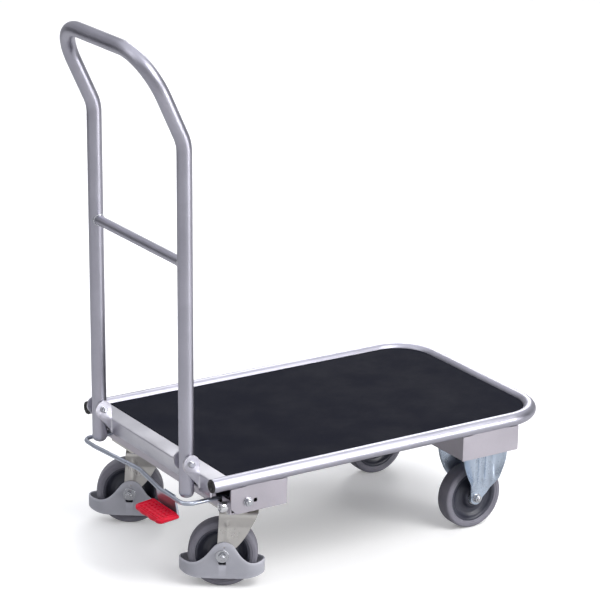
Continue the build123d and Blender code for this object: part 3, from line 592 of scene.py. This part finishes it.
def build_tyre(axle, body, node):
    """A crowned tread with a lip on each side of the hub."""
    outline, radii = mirrored(
        [(12.5, TYRE_INNER), (14.4, 49.2), (15.0, 50.8), (15.0, 52.4), (TYRE_HALF, 53.6), (TYRE_HALF, 61.9),
         (4, AXLE_HEIGHT)],
        [0, 0.8, 0.6, 0.6, 0.8, 7.0, 8.0],
    )
    mesh = lathe(bmesh.new(), axle, rounded(outline, radii, 6))
    piece_from(mesh, node + "_fine", body, "tyre_grey", [node], sharp=60)


def build_hub(axle, body, node):
    """A dished hub: bearing boss, thin web and rim."""
    outline, radii = mirrored(
        [(9.5, 8.5), (9.5, 14.0), (17.0, 14.0), (18.0, 15.0), (18.0, 17.6), (16.2, 19.6), (9.0, 22.5),
         (6.2, 28.0), (6.2, 36.0), (9.0, 41.5), (12.6, 43.6), (13.6, 45.4), (13.8, 47.2), (13.6, TYRE_INNER)],
        [0, 0, 0.3, 0.6, 1.0, 1.4, 5.0, 6.0, 7.0, 5.0, 1.6, 0.8, 0.8, 0],
    )
    mesh = lathe(bmesh.new(), axle, rounded(outline, radii, 4))
    piece_from(mesh, node + "_fine", body, "hub_dark", [node], sharp=50)


def build_bearings(axle, body, node):
    """Two sealed bearings: outer ring, sunk seal, inner ring."""
    mesh = bmesh.new()
    outline = [(10, 6.3), (17.6, 6.3), (17.8, 8.4), (17.0, 8.8), (17.0, 11.6), (17.7, 12.0), (17.7, 13.7),
               (10, 13.7)]
    for sign in (-1, 1):
        lathe(mesh, axle, [(sign * across, radius) for across, radius in outline], 96)
    piece_from(mesh, node + "_fine", body, "bearing_steel", [node])


# ---------------------------------------------------------------- foot guards

GUARD_HALF = 26.0
GUARD_WALL = 3.0
GUARD_ENDS = (-78.0, 75.0)
GUARD_END_LENGTH = 34.0
GUARD_BOTTOM = [(-78, 29), (-58, 22.5), (-37, 19.5), (37, 19.5), (58, 22.5), (75, 27)]
GUARD_TOP = [
    (-78, 51.5), (-67, 49.8), (-57, 48.8), (-44, 51.5), (-31, 61), (-22, 72), (-12, 83.5), (3, 89),
    (18, 83.5), (25, 74), (34, 61), (46, 51.5), (56, 48.8), (66, 49.8), (75, 51.5),
]


def smooth_through(points, where):
    """A smooth curve's height at this position, through (position, height) points."""
    index = max(i for i, p in enumerate(points[:-1]) if p[0] <= where or i == 0)
    (x0, y0), (x1, y1) = points[index], points[index + 1]
    before = points[max(0, index - 1)]
    after = points[min(len(points) - 1, index + 2)]
    slope0 = (y1 - before[1]) / (x1 - before[0])
    slope1 = (after[1] - y0) / (after[0] - x0)
    width = x1 - x0
    t = min(1, max(0, (where - x0) / width))
    return (
        (2 * t ** 3 - 3 * t ** 2 + 1) * y0 + (t ** 3 - 2 * t ** 2 + t) * width * slope0
        + (3 * t ** 2 - 2 * t ** 3) * y1 + (t ** 3 - t ** 2) * width * slope1
    )


def guard_plan():
    """The ring's middle line in plan: straight sides and elliptical ends."""
    low, high = GUARD_ENDS
    reach = GUARD_END_LENGTH - GUARD_WALL / 2
    half = GUARD_HALF - GUARD_WALL / 2
    dense = []
    for k in range(721):
        angle = 2 * math.pi * k / 720
        centre = high - GUARD_END_LENGTH if math.cos(angle) > 0 else low + GUARD_END_LENGTH
        dense.append(Vector((centre + reach * math.cos(angle), half * math.sin(angle))))
    lengths = [0.0]
    for first, second in zip(dense, dense[1:]):
        lengths.append(lengths[-1] + (second - first).length)
    plan, index = [], 0
    count = 260
    for k in range(count):
        wanted = lengths[-1] * k / count
        while lengths[index + 1] < wanted:
            index += 1
        span = lengths[index + 1] - lengths[index]
        plan.append(dense[index].lerp(dense[index + 1], (wanted - lengths[index]) / span))
    return plan


def build_guard(axle, side):
    """A ring of plastic round the wheel, highest over the axle, with a hole and a slot in both long sides."""
    mesh = bmesh.new()
    plan = guard_plan()
    lip = 1.1
    rows = []
    for index, spot in enumerate(plan):
        direction = (plan[(index + 1) % len(plan)] - plan[index - 1]).normalized()
        outward = Vector((direction.y, -direction.x))
        along = min(GUARD_ENDS[1], max(GUARD_ENDS[0], spot.x))
        floor, top = smooth_through(GUARD_BOTTOM, along), smooth_through(GUARD_TOP, along)
        half = GUARD_WALL / 2
        section = [(-half, floor + lip), (-half + lip * 0.3, floor + lip * 0.3), (-half + lip, floor)]
        section += [(half - lip, floor), (half - lip * 0.3, floor + lip * 0.3), (half, floor + lip)]
        section += [(half, floor + (top - floor) * share) for share in (0.2, 0.4, 0.6, 0.8)]
        section += [(half, top - lip), (half - lip * 0.3, top - lip * 0.3), (half - lip, top)]
        section += [(-half + lip, top), (-half + lip * 0.3, top - lip * 0.3), (-half, top - lip)]
        section += [(-half, floor + (top - floor) * share) for share in (0.8, 0.6, 0.4, 0.2)]
        rows.append([
            mesh.verts.new(axle.at(spot.x + outward.x * offset, spot.y + outward.y * offset, height))
            for offset, height in section
        ])
    grid_faces(mesh, rows, close_rows=True)
    node = f"swivel_guard_{side}"
    piece = piece_from(mesh, node + "_fine", f"swivel_{side}", "guard_grey", [node], sharp=60)
    cutters = bmesh.new()
    hole = arc((3, 79), 2, 0, 24)
    slot = arc((4, 48.5), 3.4, -90, 13) + arc((-4, 48.5), 3.4, 90, 13)
    reach = GUARD_HALF + 4
    for outline in (hole, slot):
        rows = [[cutters.verts.new(axle.at(u, w, v)) for u, v in outline] for w in (-reach, reach)]
        grid_faces(cutters, rows)
        end_faces(cutters, rows)
    cut(piece, cutters)


def arc(centre, radius, first, count):
    """Points every 15 degrees round a centre, from this angle."""
    angles = [math.radians(first + 15 * k) for k in range(count)]
    return [(centre[0] + radius * math.cos(a), centre[1] + radius * math.sin(a)) for a in angles]


def cut(piece, cutters):
    """Cuts the closed shapes in a bmesh, in millimetres, out of a piece."""
    bmesh.ops.recalc_face_normals(cutters, faces=cutters.faces)
    bmesh.ops.scale(cutters, vec=(MM, MM, MM), verts=cutters.verts)
    data = bpy.data.meshes.new("cutter")
    cutters.to_mesh(data)
    cutters.free()
    tool = bpy.data.objects.new("cutter", data)
    bpy.context.scene.collection.objects.link(tool)
    modifier = piece.modifiers.new("cut", "BOOLEAN")
    modifier.operation = "DIFFERENCE"
    modifier.solver = "EXACT"
    modifier.object = tool
    bake_modifiers(piece)
    bpy.data.objects.remove(tool)


def bake_modifiers(piece):
    """Applies a piece's modifiers to its mesh."""
    bpy.context.view_layer.update()
    evaluated = piece.evaluated_get(bpy.context.evaluated_depsgraph_get())
    data = bpy.data.meshes.new_from_object(evaluated)
    piece.modifiers.clear()
    piece.data = data
    data.polygons.foreach_set("use_smooth", [True] * len(data.polygons))
    data.set_sharp_from_angle(angle=math.radians(40))


# ---------------------------------------------------------------- tubes and turned pieces


def revolved(mesh, origin, axis, outline, segments=72):
    """Turns a closed outline of (lift, radius) points about an axis through the origin."""
    axis = Vector(axis).normalized()
    side = axis.orthogonal().normalized()
    other = axis.cross(side)
    rows = []
    for k in range(segments):
        angle = 2 * math.pi * k / segments
        spoke = side * math.cos(angle) + other * math.sin(angle)
        places = [Vector(origin) + axis * lift + spoke * radius for lift, radius in outline]
        rows.append([mesh.verts.new(place) for place in places])
    grid_faces(mesh, rows, close_rows=True)


def bent_path(points, radii):
    """A path of straight runs whose corners are arcs of these radii, with a point every 3 degrees."""
    path = [Vector(points[0])]
    for before, corner, after, radius in zip(points, points[1:], points[2:], radii):
        here = Vector(corner)
        back, ahead = (Vector(before) - here).normalized(), (Vector(after) - here).normalized()
        half = back.angle(ahead) / 2
        centre = here + (back + ahead).normalized() * radius / math.sin(half)
        reach = radius / math.tan(half)
        start, end = here + back * reach - centre, here + ahead * reach - centre
        steps = max(2, math.ceil(math.degrees(start.angle(end)) / 3.0))
        hinge = start.cross(end).normalized()
        for step in range(steps + 1):
            path.append(centre + Matrix.Rotation(start.angle(end) * step / steps, 3, hinge) @ start)
    path.append(Vector(points[-1]))
    return path


def tube_along(mesh, path, radius, around, ripple=None, closed=False):
    """A round tube along a path. ripple(k) scales its radius at point k."""
    count = len(path)
    rows = []
    side = None
    for k, spot in enumerate(path):
        ahead = path[(k + 1) % count] if closed else path[min(k + 1, count - 1)]
        behind = path[k - 1] if closed else path[max(k - 1, 0)]
        along = (ahead - behind).normalized()
        side = along.orthogonal() if side is None else side - along * side.dot(along)
        side.normalize()
        other = along.cross(side)
        size = radius * (ripple(k) if ripple else 1)
        rows.append([
            mesh.verts.new(spot + (side * math.cos(a) + other * math.sin(a)) * size)
            for a in (2 * math.pi * n / around for n in range(around))
        ])
    grid_faces(mesh, rows)
    if not closed:
        end_faces(mesh, rows)
        return
    # The last ring meets the first wherever its own start has turned to.
    start = rows[-1][0].co
    shift = min(range(around), key=lambda n: (rows[0][n].co - start).length)
    first = rows[0][shift:] + rows[0][:shift]
    grid_faces(mesh, [rows[-1], first])


# ---------------------------------------------------------------- handle

# Sizes along the deck are from the rim tube's open ends, and X = 0 is the middle of the cart's whole box.
CENTRE_SHIFT = 318.4517


def station(distance):
    """X of a point at this distance from the rim tube's open ends."""
    return distance - CENTRE_SHIFT


PIVOT = (station(-11.6), 251.0)
LEG_Y = 156.0
LEG_RADIUS = 13.5
LEAN = math.radians(0.88)
BEND = math.radians(24.7)
LEG_ABOVE = 573.0
UPPER_LENGTH = 173.0
TUBE_START = -56.5
CROSSBAR_ABOVE = 361.0
CROSSBAR_RADIUS = 9.0


def on_handle(along_leg, along_top, y):
    """A point of the handle's plane: up the leg from the pivot, then up its bent-back upper part."""
    x = PIVOT[0] - along_leg * math.sin(LEAN) - along_top * math.sin(LEAN + BEND)
    return Vector((x, y, PIVOT[1] + along_leg * math.cos(LEAN) + along_top * math.cos(LEAN + BEND)))


def build_handle():
    """The bent tube, and a rippled weld bead at each end of the crossbar."""
    corners = [on_handle(TUBE_START, 0, -LEG_Y), on_handle(LEG_ABOVE, 0, -LEG_Y)]
    corners += [on_handle(LEG_ABOVE, UPPER_LENGTH, -LEG_Y), on_handle(LEG_ABOVE, UPPER_LENGTH, LEG_Y)]
    corners += [on_handle(LEG_ABOVE, 0, LEG_Y), on_handle(TUBE_START, 0, LEG_Y)]
    mesh = bmesh.new()
    tube_along(mesh, bent_path(corners, (70, 82, 82, 70)), LEG_RADIUS, 64)
    piece_from(mesh, "handle_tube_fine", "handle", "aluminium_tube", ["handle_tube"])
    welds = bmesh.new()
    middle = on_handle(CROSSBAR_ABOVE, 0, 0)
    up = (on_handle(CROSSBAR_ABOVE + 1, 0, 0) - middle).normalized()
    forward = Vector((up.z, 0, -up.x))
    weld_radius = CROSSBAR_RADIUS + 0.7
    for sign in (-1, 1):
        path = []
        for k in range(96):
            angle = 2 * math.pi * k / 96
            across, rise = weld_radius * math.cos(angle), weld_radius * math.sin(angle)
            y = sign * (LEG_Y - math.sqrt(LEG_RADIUS ** 2 - across ** 2) - 0.3)
            path.append(middle + forward * across + up * rise + Vector((0, y, 0)))
        tube_along(welds, path, 1.7, 12, lambda k: 1 + 0.16 * math.sin(math.pi * k / 3.2), closed=True)
    piece_from(welds, "crossbar_welds", "handle", "zinc_bolt", sharp=80)


# ---------------------------------------------------------------- forks

FORK_SHEET = 3.0
TIP_RADIUS = 13.0
SWIVEL_CHEEK = 23.0
SWIVEL_CROWN = 150.0
FIXED_CHEEK = 25.0
FIXED_PLATE = (160.0, 164.0)
FIXED_STATION = 612.0
# Each edge is (height, reach from the axle) points, and each bead is (reach, width, rise).
SWIVEL_EDGES = (
    [(62.5, -11), (88, -9), (120, -7.5), (150, -6)],
    [(62.5, 12), (70, 16), (81, 27), (97, 39), (113, 48), (131, 56), (150, 63)],
)
FIXED_EDGES = (
    [(62.5, -12), (76, -14), (84, -17), (96, -24), (108, -31), (125, -38.5), (142, -43.5), (160, -46)],
    [(62.5, 14), (72, 25), (84, 31.5), (98, 37), (112, 43), (126, 49), (142, 53), (160, 54)],
)
SWIVEL_BEADS = [(8, 3.4, 3.4)]
FIXED_BEADS = [(-3, 2.2, 3.6), (12, 2.8, 4.0), (29, 2.4, 3.0)]


def resampled(path, step):
    """The same line with no gap longer than step."""
    result = [path[0]]
    for first, second in zip(path, path[1:]):
        pieces = max(1, math.ceil((second - first).length / step))
        result += [first.lerp(second, k / pieces) for k in range(1, pieces + 1)]
    return result


def fork_width(edges, height):
    """How far a cheek reaches each way from the axle at this height."""
    if height < AXLE_HEIGHT:
        chord = math.sqrt(max(0.0, TIP_RADIUS ** 2 - (AXLE_HEIGHT - height) ** 2))
        return -chord, chord
    low, high = (smooth_through(side, min(height, side[-1][0])) for side in edges)
    tip = TIP_RADIUS * max(0, 1 - (height - AXLE_HEIGHT) / 14)
    return min(low, -tip), max(high, tip)


def pressed_sheet(mesh, axle, edges, section, beads, curl, top):
    """A sheet bent to this front-view section. Beads are (reach, width, rise) ridges pressed into the
    cheeks, and curl is how far their long edges turn outwards."""
    columns = 36
    outer, inner = [], []
    for k, spot in enumerate(section):
        ahead, behind = section[min(k + 1, len(section) - 1)], section[max(k - 1, 0)]
        along = (ahead - behind).normalized()
        normal = Vector((along.y, -along.x))
        low, high = fork_width(edges, spot.y)
        ease = min(1.0, max(0.0, (spot.y - 72) / 34))
        ease = ease * ease * (3 - 2 * ease)
        bead_ease = min(1.0, max(0.0, (spot.y - 84) / 12)) * min(1.0, max(0.0, (top - 2 - spot.y) / 8))
        row_out, row_in = [], []
        for n in range(columns + 1):
            share = n / columns
            reach = low + (high - low) * share
            lift = curl * ease * abs(2 * share - 1) ** 2.6
            for start, width, rise in beads:
                lift += rise * bead_ease * math.exp(-((reach - start) / width) ** 2)
            point = spot + Vector((math.copysign(lift, spot.x) if abs(spot.x) > 1 and curl else 0, 0))
            if not curl:
                point = spot + normal * lift
            back = point - normal * FORK_SHEET
            row_out.append(mesh.verts.new(axle.at(reach, point.x, point.y)))
            row_in.append(mesh.verts.new(axle.at(reach, back.x, back.y)))
        outer.append(row_out)
        inner.append(row_in)
    grid_faces(mesh, outer, close_columns=False)
    grid_faces(mesh, inner, close_columns=False)
    for n in (0, columns):
        for k in range(len(section) - 1):
            mesh.faces.new((outer[k][n], outer[k + 1][n], inner[k + 1][n], inner[k][n]))
    for k in (0, len(section) - 1):
        for n in range(columns):
            mesh.faces.new((outer[k][n], outer[k][n + 1], inner[k][n + 1], inner[k][n]))


def cheek_heights(top):
    """Close together round the fork's tip, then even."""
    tip = [AXLE_HEIGHT - TIP_RADIUS * math.cos(math.radians(9 * k)) for k in range(1, 10)]
    return tip + [AXLE_HEIGHT + (top - AXLE_HEIGHT) * k / 28 for k in range(0, 29)]


def build_swivel_fork(axle, side):
    """A pressed U under the kingpin's race, one bead in each cheek."""
    mesh = bmesh.new()
    # Up one cheek, over the crown and down the other.
    half = [(SWIVEL_CHEEK, 49.6), (SWIVEL_CHEEK, 118), (34, 141), (34, SWIVEL_CROWN), (0, SWIVEL_CROWN)]
    up = rounded(half, [0, 14, 6, 7, 0], 5)
    cheek = [Vector((SWIVEL_CHEEK, h)) for h in cheek_heights(100)]
    rise = resampled([Vector((SWIVEL_CHEEK, 100))] + up[1:], 3.0)[1:]
    one = cheek + rise
    section = one + [Vector((-p.x, p.y)) for p in reversed(one[:-1])]
    pressed_sheet(mesh, axle, SWIVEL_EDGES, section, SWIVEL_BEADS, 0, 140)
    kingpin = Vector(joints[f"swivel_turn_{side}"]["pos_m"]) / MM
    base = Vector((kingpin.x, kingpin.y, 0))
    race = [(147, 7), (147, 33.5), (148, 34.2), (149.6, 34.2), (150.4, 33), (152, 32), (153, 31), (153, 7)]
    revolved(mesh, base, (0, 0, 1), race)
    node = f"swivel_fork_{side}"
    piece_from(mesh, node + "_fine", f"swivel_{side}", "fork_warm", [node], sharp=50)


def rounded_rectangle(centre, length, width, radius):
    x, y = centre
    corners = [(x - length / 2, y - width / 2), (x + length / 2, y - width / 2),
               (x + length / 2, y + width / 2), (x - length / 2, y + width / 2)]
    return rounded(corners, [radius] * 4, 6)


def build_fixed_fork(axle, side):
    """Two flared cheeks with three beads each, under a top plate."""
    mesh = bmesh.new()
    for sign in (-1, 1):
        heights = cheek_heights(FIXED_PLATE[0])
        if sign < 0:
            heights = list(reversed(heights))
        section = [Vector((sign * FIXED_CHEEK, h)) for h in heights]
        pressed_sheet(mesh, axle, FIXED_EDGES, section, FIXED_BEADS, 16.5, 158)
    outline = rounded_rectangle((station(FIXED_STATION), axle.centre.y), 105, 86, 8)
    plate(mesh, lambda u, depth, v: Vector((u, v, depth)), outline, *FIXED_PLATE, 0.8)
    node = f"fixed_fork_{side}"
    piece_from(mesh, node + "_fine", "deck", "fork_blue", [node], sharp=50)


# ---------------------------------------------------------------- pedal

PEDAL_Y = (-160.0, -71.0)
PEDAL_DEPTH = 46.0
PEDAL_THICKNESS = 9.0
PEDAL_SLOPE = math.radians(6)
PEDAL_ROOT = (station(-25), 157.5)
TREAD = 1.6
BAIL_PIVOT = (station(72.5), 182.6)
BAIL_FRONT = BAIL_PIVOT[0] - 103.5


def on_pedal(outward_distance, depth, y):
    """A point of the pedal, measured down its slope and then below its tread."""
    x = PEDAL_ROOT[0] - outward_distance * math.cos(PEDAL_SLOPE) + depth * math.sin(PEDAL_SLOPE)
    z = PEDAL_ROOT[1] - outward_distance * math.sin(PEDAL_SLOPE) - depth * math.cos(PEDAL_SLOPE)
    return Vector((x, y, z))


def build_pedal():
    """A red block with rounded edges and a raised tread."""
    low, high = PEDAL_Y
    length = high - low
    # The free edge has three shallow scallops between rounded corners.
    free_edge = []
    for k in range(61):
        share = k / 60
        dip = 1.5 * (1 - math.cos(2 * math.pi * 3 * share)) / 2
        corner = 7.0 * (max(0, 1 - share * 60 / 8) ** 2 + max(0, 1 - (1 - share) * 60 / 8) ** 2)
        free_edge.append((PEDAL_DEPTH - dip - corner, low + length * share))
    outline = [Vector(point) for point in [(3.5, high), (3.5, low)] + free_edge]
    mesh = bmesh.new()
    plate(mesh, on_pedal, outline, TREAD, PEDAL_THICKNESS, 2.2)
    # Raised border and rows of short bars.
    bars = []
    rows, columns = 4, 7
    cell_u, cell_v = (PEDAL_DEPTH - 15) / rows, (length - 16) / columns
    for row in range(rows):
        for column in range(columns):
            u = 8.5 + (row + 0.5) * cell_u
            v = low + 8 + (column + (0.5 if row % 2 else 0.35)) * cell_v
            bars.append(rounded_rectangle((u, v), cell_u * 0.52, cell_v * 0.74, 1.9))
    bars.append(rounded_rectangle((6.0, (low + high) / 2), 2.6, length - 10, 1.2))
    bars.append(rounded_rectangle((PEDAL_DEPTH - 5.2, (low + high) / 2), 2.2, length - 24, 1.0))
    for v in (low + 4.4, high - 4.4):
        bars.append(rounded_rectangle((PEDAL_DEPTH / 2, v), PEDAL_DEPTH - 18, 2.4, 1.1))
    for bar in bars:
        plate(mesh, on_pedal, bar, TREAD + 1.0, 0.0, 0.7)
    piece_from(mesh, "foot_pedal_fine", "latch_bail", "pedal_red", ["foot_pedal"], sharp=50)


def build_bracket():
    """The sheet that hangs from the rod and carries the pedal."""
    low, high = PEDAL_Y
    web_top = BAIL_FRONT + 1.5
    mesh = bmesh.new()

    def strip(points, thickness, y0, y1):
        """A bent strip of sheet, given by the side-view line of one face."""
        smooth = resampled(rounded(points, [0] + [3.0] * (len(points) - 2) + [0], 6), 4.0)
        other = []
        for k, spot in enumerate(smooth):
            along = (smooth[min(k + 1, len(smooth) - 1)] - smooth[max(k - 1, 0)]).normalized()
            other.append(spot + Vector((-along.y, along.x)) * thickness)
        outline = smooth + list(reversed(other))
        plate(mesh, lambda u, depth, v: Vector((u, depth, v)), outline, y0, y1, 0.5)

    under = [on_pedal(u, PEDAL_THICKNESS + FORK_SHEET, 0) for u in (-0.5, PEDAL_DEPTH - 17)]
    side_line = [(web_top, BAIL_PIVOT[1] - 3.5), (under[0].x, under[0].z), (under[1].x, under[1].z)]
    strip([Vector(p) for p in reversed(side_line)], -FORK_SHEET, low + 12, high - 12)
    # A second layer, welded on as a lug round the straight part of the rod.
    lug = [(web_top + 1.6, BAIL_PIVOT[1] + 4.2), (web_top + 3.0, BAIL_PIVOT[1] - 5)]
    lug.append((under[0].x + 2.4, 152.0))
    strip([Vector(p) for p in reversed(lug)], -1.6, low + 16, low + 50)
    piece_from(mesh, "pedal_bracket_fine", "latch_bail", "bail_steel", ["pedal_bracket"], sharp=50)


# ---------------------------------------------------------------- fasteners, plugs and bosses

BOLT_FLATS = 13.0
HINGE_FLATS = 10.0
HINGE_WASHER = (6.2, 1.2)
EAR_OUTER = 173.5
EAR_INNER = 138.5
END_PLATE_Y = 225.6
RIM_Y = 222.5
RIM_Z = 225.0
# For each pair of castors: X and Y of the plate's middle, its hole pitches, and the bolt heads' height.
CASTOR_HOLES = ((station(93), 166.5, 80, 60, 159.0), (station(FIXED_STATION), 158.0, 80, 60, 160.0))


def build_fasteners(axles):
    """The hinge bolts, the rod's nuts, the castor bolts and the axles' ends."""
    hinge = bmesh.new()
    bail = bmesh.new()
    for sign in (-1, 1):
        out = (0, sign, 0)
        head = (PIVOT[0], sign * EAR_OUTER, PIVOT[1])
        nut = (PIVOT[0], sign * EAR_INNER, PIVOT[1])
        rod_end = (BAIL_PIVOT[0], sign * END_PLATE_Y, BAIL_PIVOT[1])
        hex_fastener(hinge, head, out, HINGE_FLATS, 4, *HINGE_WASHER, turn=0.3)
        hex_fastener(hinge, nut, (0, -sign, 0), HINGE_FLATS, 5, *HINGE_WASHER, 3, 0.2)
        hex_fastener(bail, rod_end, out, BOLT_FLATS, 5.5, 8.2, 1.2, 4, 0.1)
    piece_from(hinge, "hinge_bolts_fine", "deck", "zinc_bolt", ["handle_pivot_bolts", "handle_pivot_nuts"])
    piece_from(bail, "bail_nuts_fine", "latch_bail", "zinc_bolt", ["bail_nuts"])

    under = bmesh.new()
    for x, y, pitch_x, pitch_y, height in CASTOR_HOLES:
        for sign in (-1, 1):
            for dx in (-pitch_x / 2, pitch_x / 2):
                for dy in (-pitch_y / 2, pitch_y / 2):
                    base = (x + dx, sign * y + dy, height)
                    hex_fastener(under, base, (0, 0, -1), BOLT_FLATS, 5.3, turn=0.013 * (dx + dy))
    piece_from(under, "caster_bolts_fine", "deck", "zinc_bolt", ["caster_bolts"])

    fixed = bmesh.new()
    for side in SIDES:
        axle = axles[f"rear_{side}"]
        for sign in (-1, 1):
            out = axle.across * sign
            face = axle.centre + out * FIXED_CHEEK
            hex_fastener(fixed, face, out, BOLT_FLATS, 5.8, 9.0, 1.5, 4.0, 0.25)
    piece_from(fixed, "fixed_axles_fine", "deck", "zinc_bolt", ["fixed_axles", "fixed_axle_nuts"])
    for side in SIDES:
        axle = axles[f"front_{side}"]
        swivel = bmesh.new()
        for sign in (-1, 1):
            out = axle.across * sign
            face = axle.centre + out * GUARD_HALF
            hex_fastener(swivel, face, out, BOLT_FLATS, 6.0, 12.2, 1.5, 4.0, 0.4)
        replaced = [f"swivel_axle_{side}", f"swivel_axle_nut_{side}"]
        piece_from(swivel, f"swivel_axle_{side}_fine", f"swivel_{side}", "zinc_bolt", replaced)


def build_plugs_and_bosses():
    """The dished plugs in the rim tube, and the front channel's turned bosses."""
    plugs = bmesh.new()
    bosses = bmesh.new()
    cap = [(-14, 10.4), (-14, 8.6), (-5.5, 8.6), (-5.5, 0.02), (-3.2, 0.02), (-3.4, 4.0), (-2.4, 6.6),
           (-0.3, 8.0), (0.9, 8.7), (1.6, 9.6), (1.7, 11.0), (1.2, 12.0), (0.0, 12.2), (0.0, 10.4)]
    stud = [(0, 0.02), (0, 9.5), (10.5, 9.5), (12.4, 9.0), (13.6, 7.9), (14.0, 6.6), (13.4, 5.2), (11.8, 4.4),
            (9.0, 4.2), (9.0, 0.02)]
    for sign in (-1, 1):
        revolved(plugs, (station(0), sign * RIM_Y, RIM_Z), (-1, 0, 0), cap, 64)
        revolved(bosses, (station(38), sign * 209.5, 175.5), (-1, 0, 0), stud, 64)
    piece_from(plugs, "rim_plugs_fine", "deck", "end_plastic", ["rim_plugs"])
    piece_from(bosses, "beam_bosses_fine", "deck", "bearing_steel", ["beam_bosses"])


# ---------------------------------------------------------------- the scene

materials = build_materials()
paint_nodes(materials)
build_studio()
build_camera()
axles = castor_axles()
for wheel, axle in axles.items():
    kind, side = wheel.split("_")
    body = f"{kind}_wheel_{side}"
    build_tyre(axle, body, f"{kind}_tyre_{side}")
    build_hub(axle, body, f"{kind}_hub_{side}")
    build_bearings(axle, body, f"{kind}_bearings_{side}")
for side in SIDES:
    build_guard(axles[f"front_{side}"], side)
    build_swivel_fork(axles[f"front_{side}"], side)
    build_fixed_fork(axles[f"rear_{side}"], side)
build_handle()
build_pedal()
build_bracket()
build_fasteners(axles)
build_plugs_and_bosses()
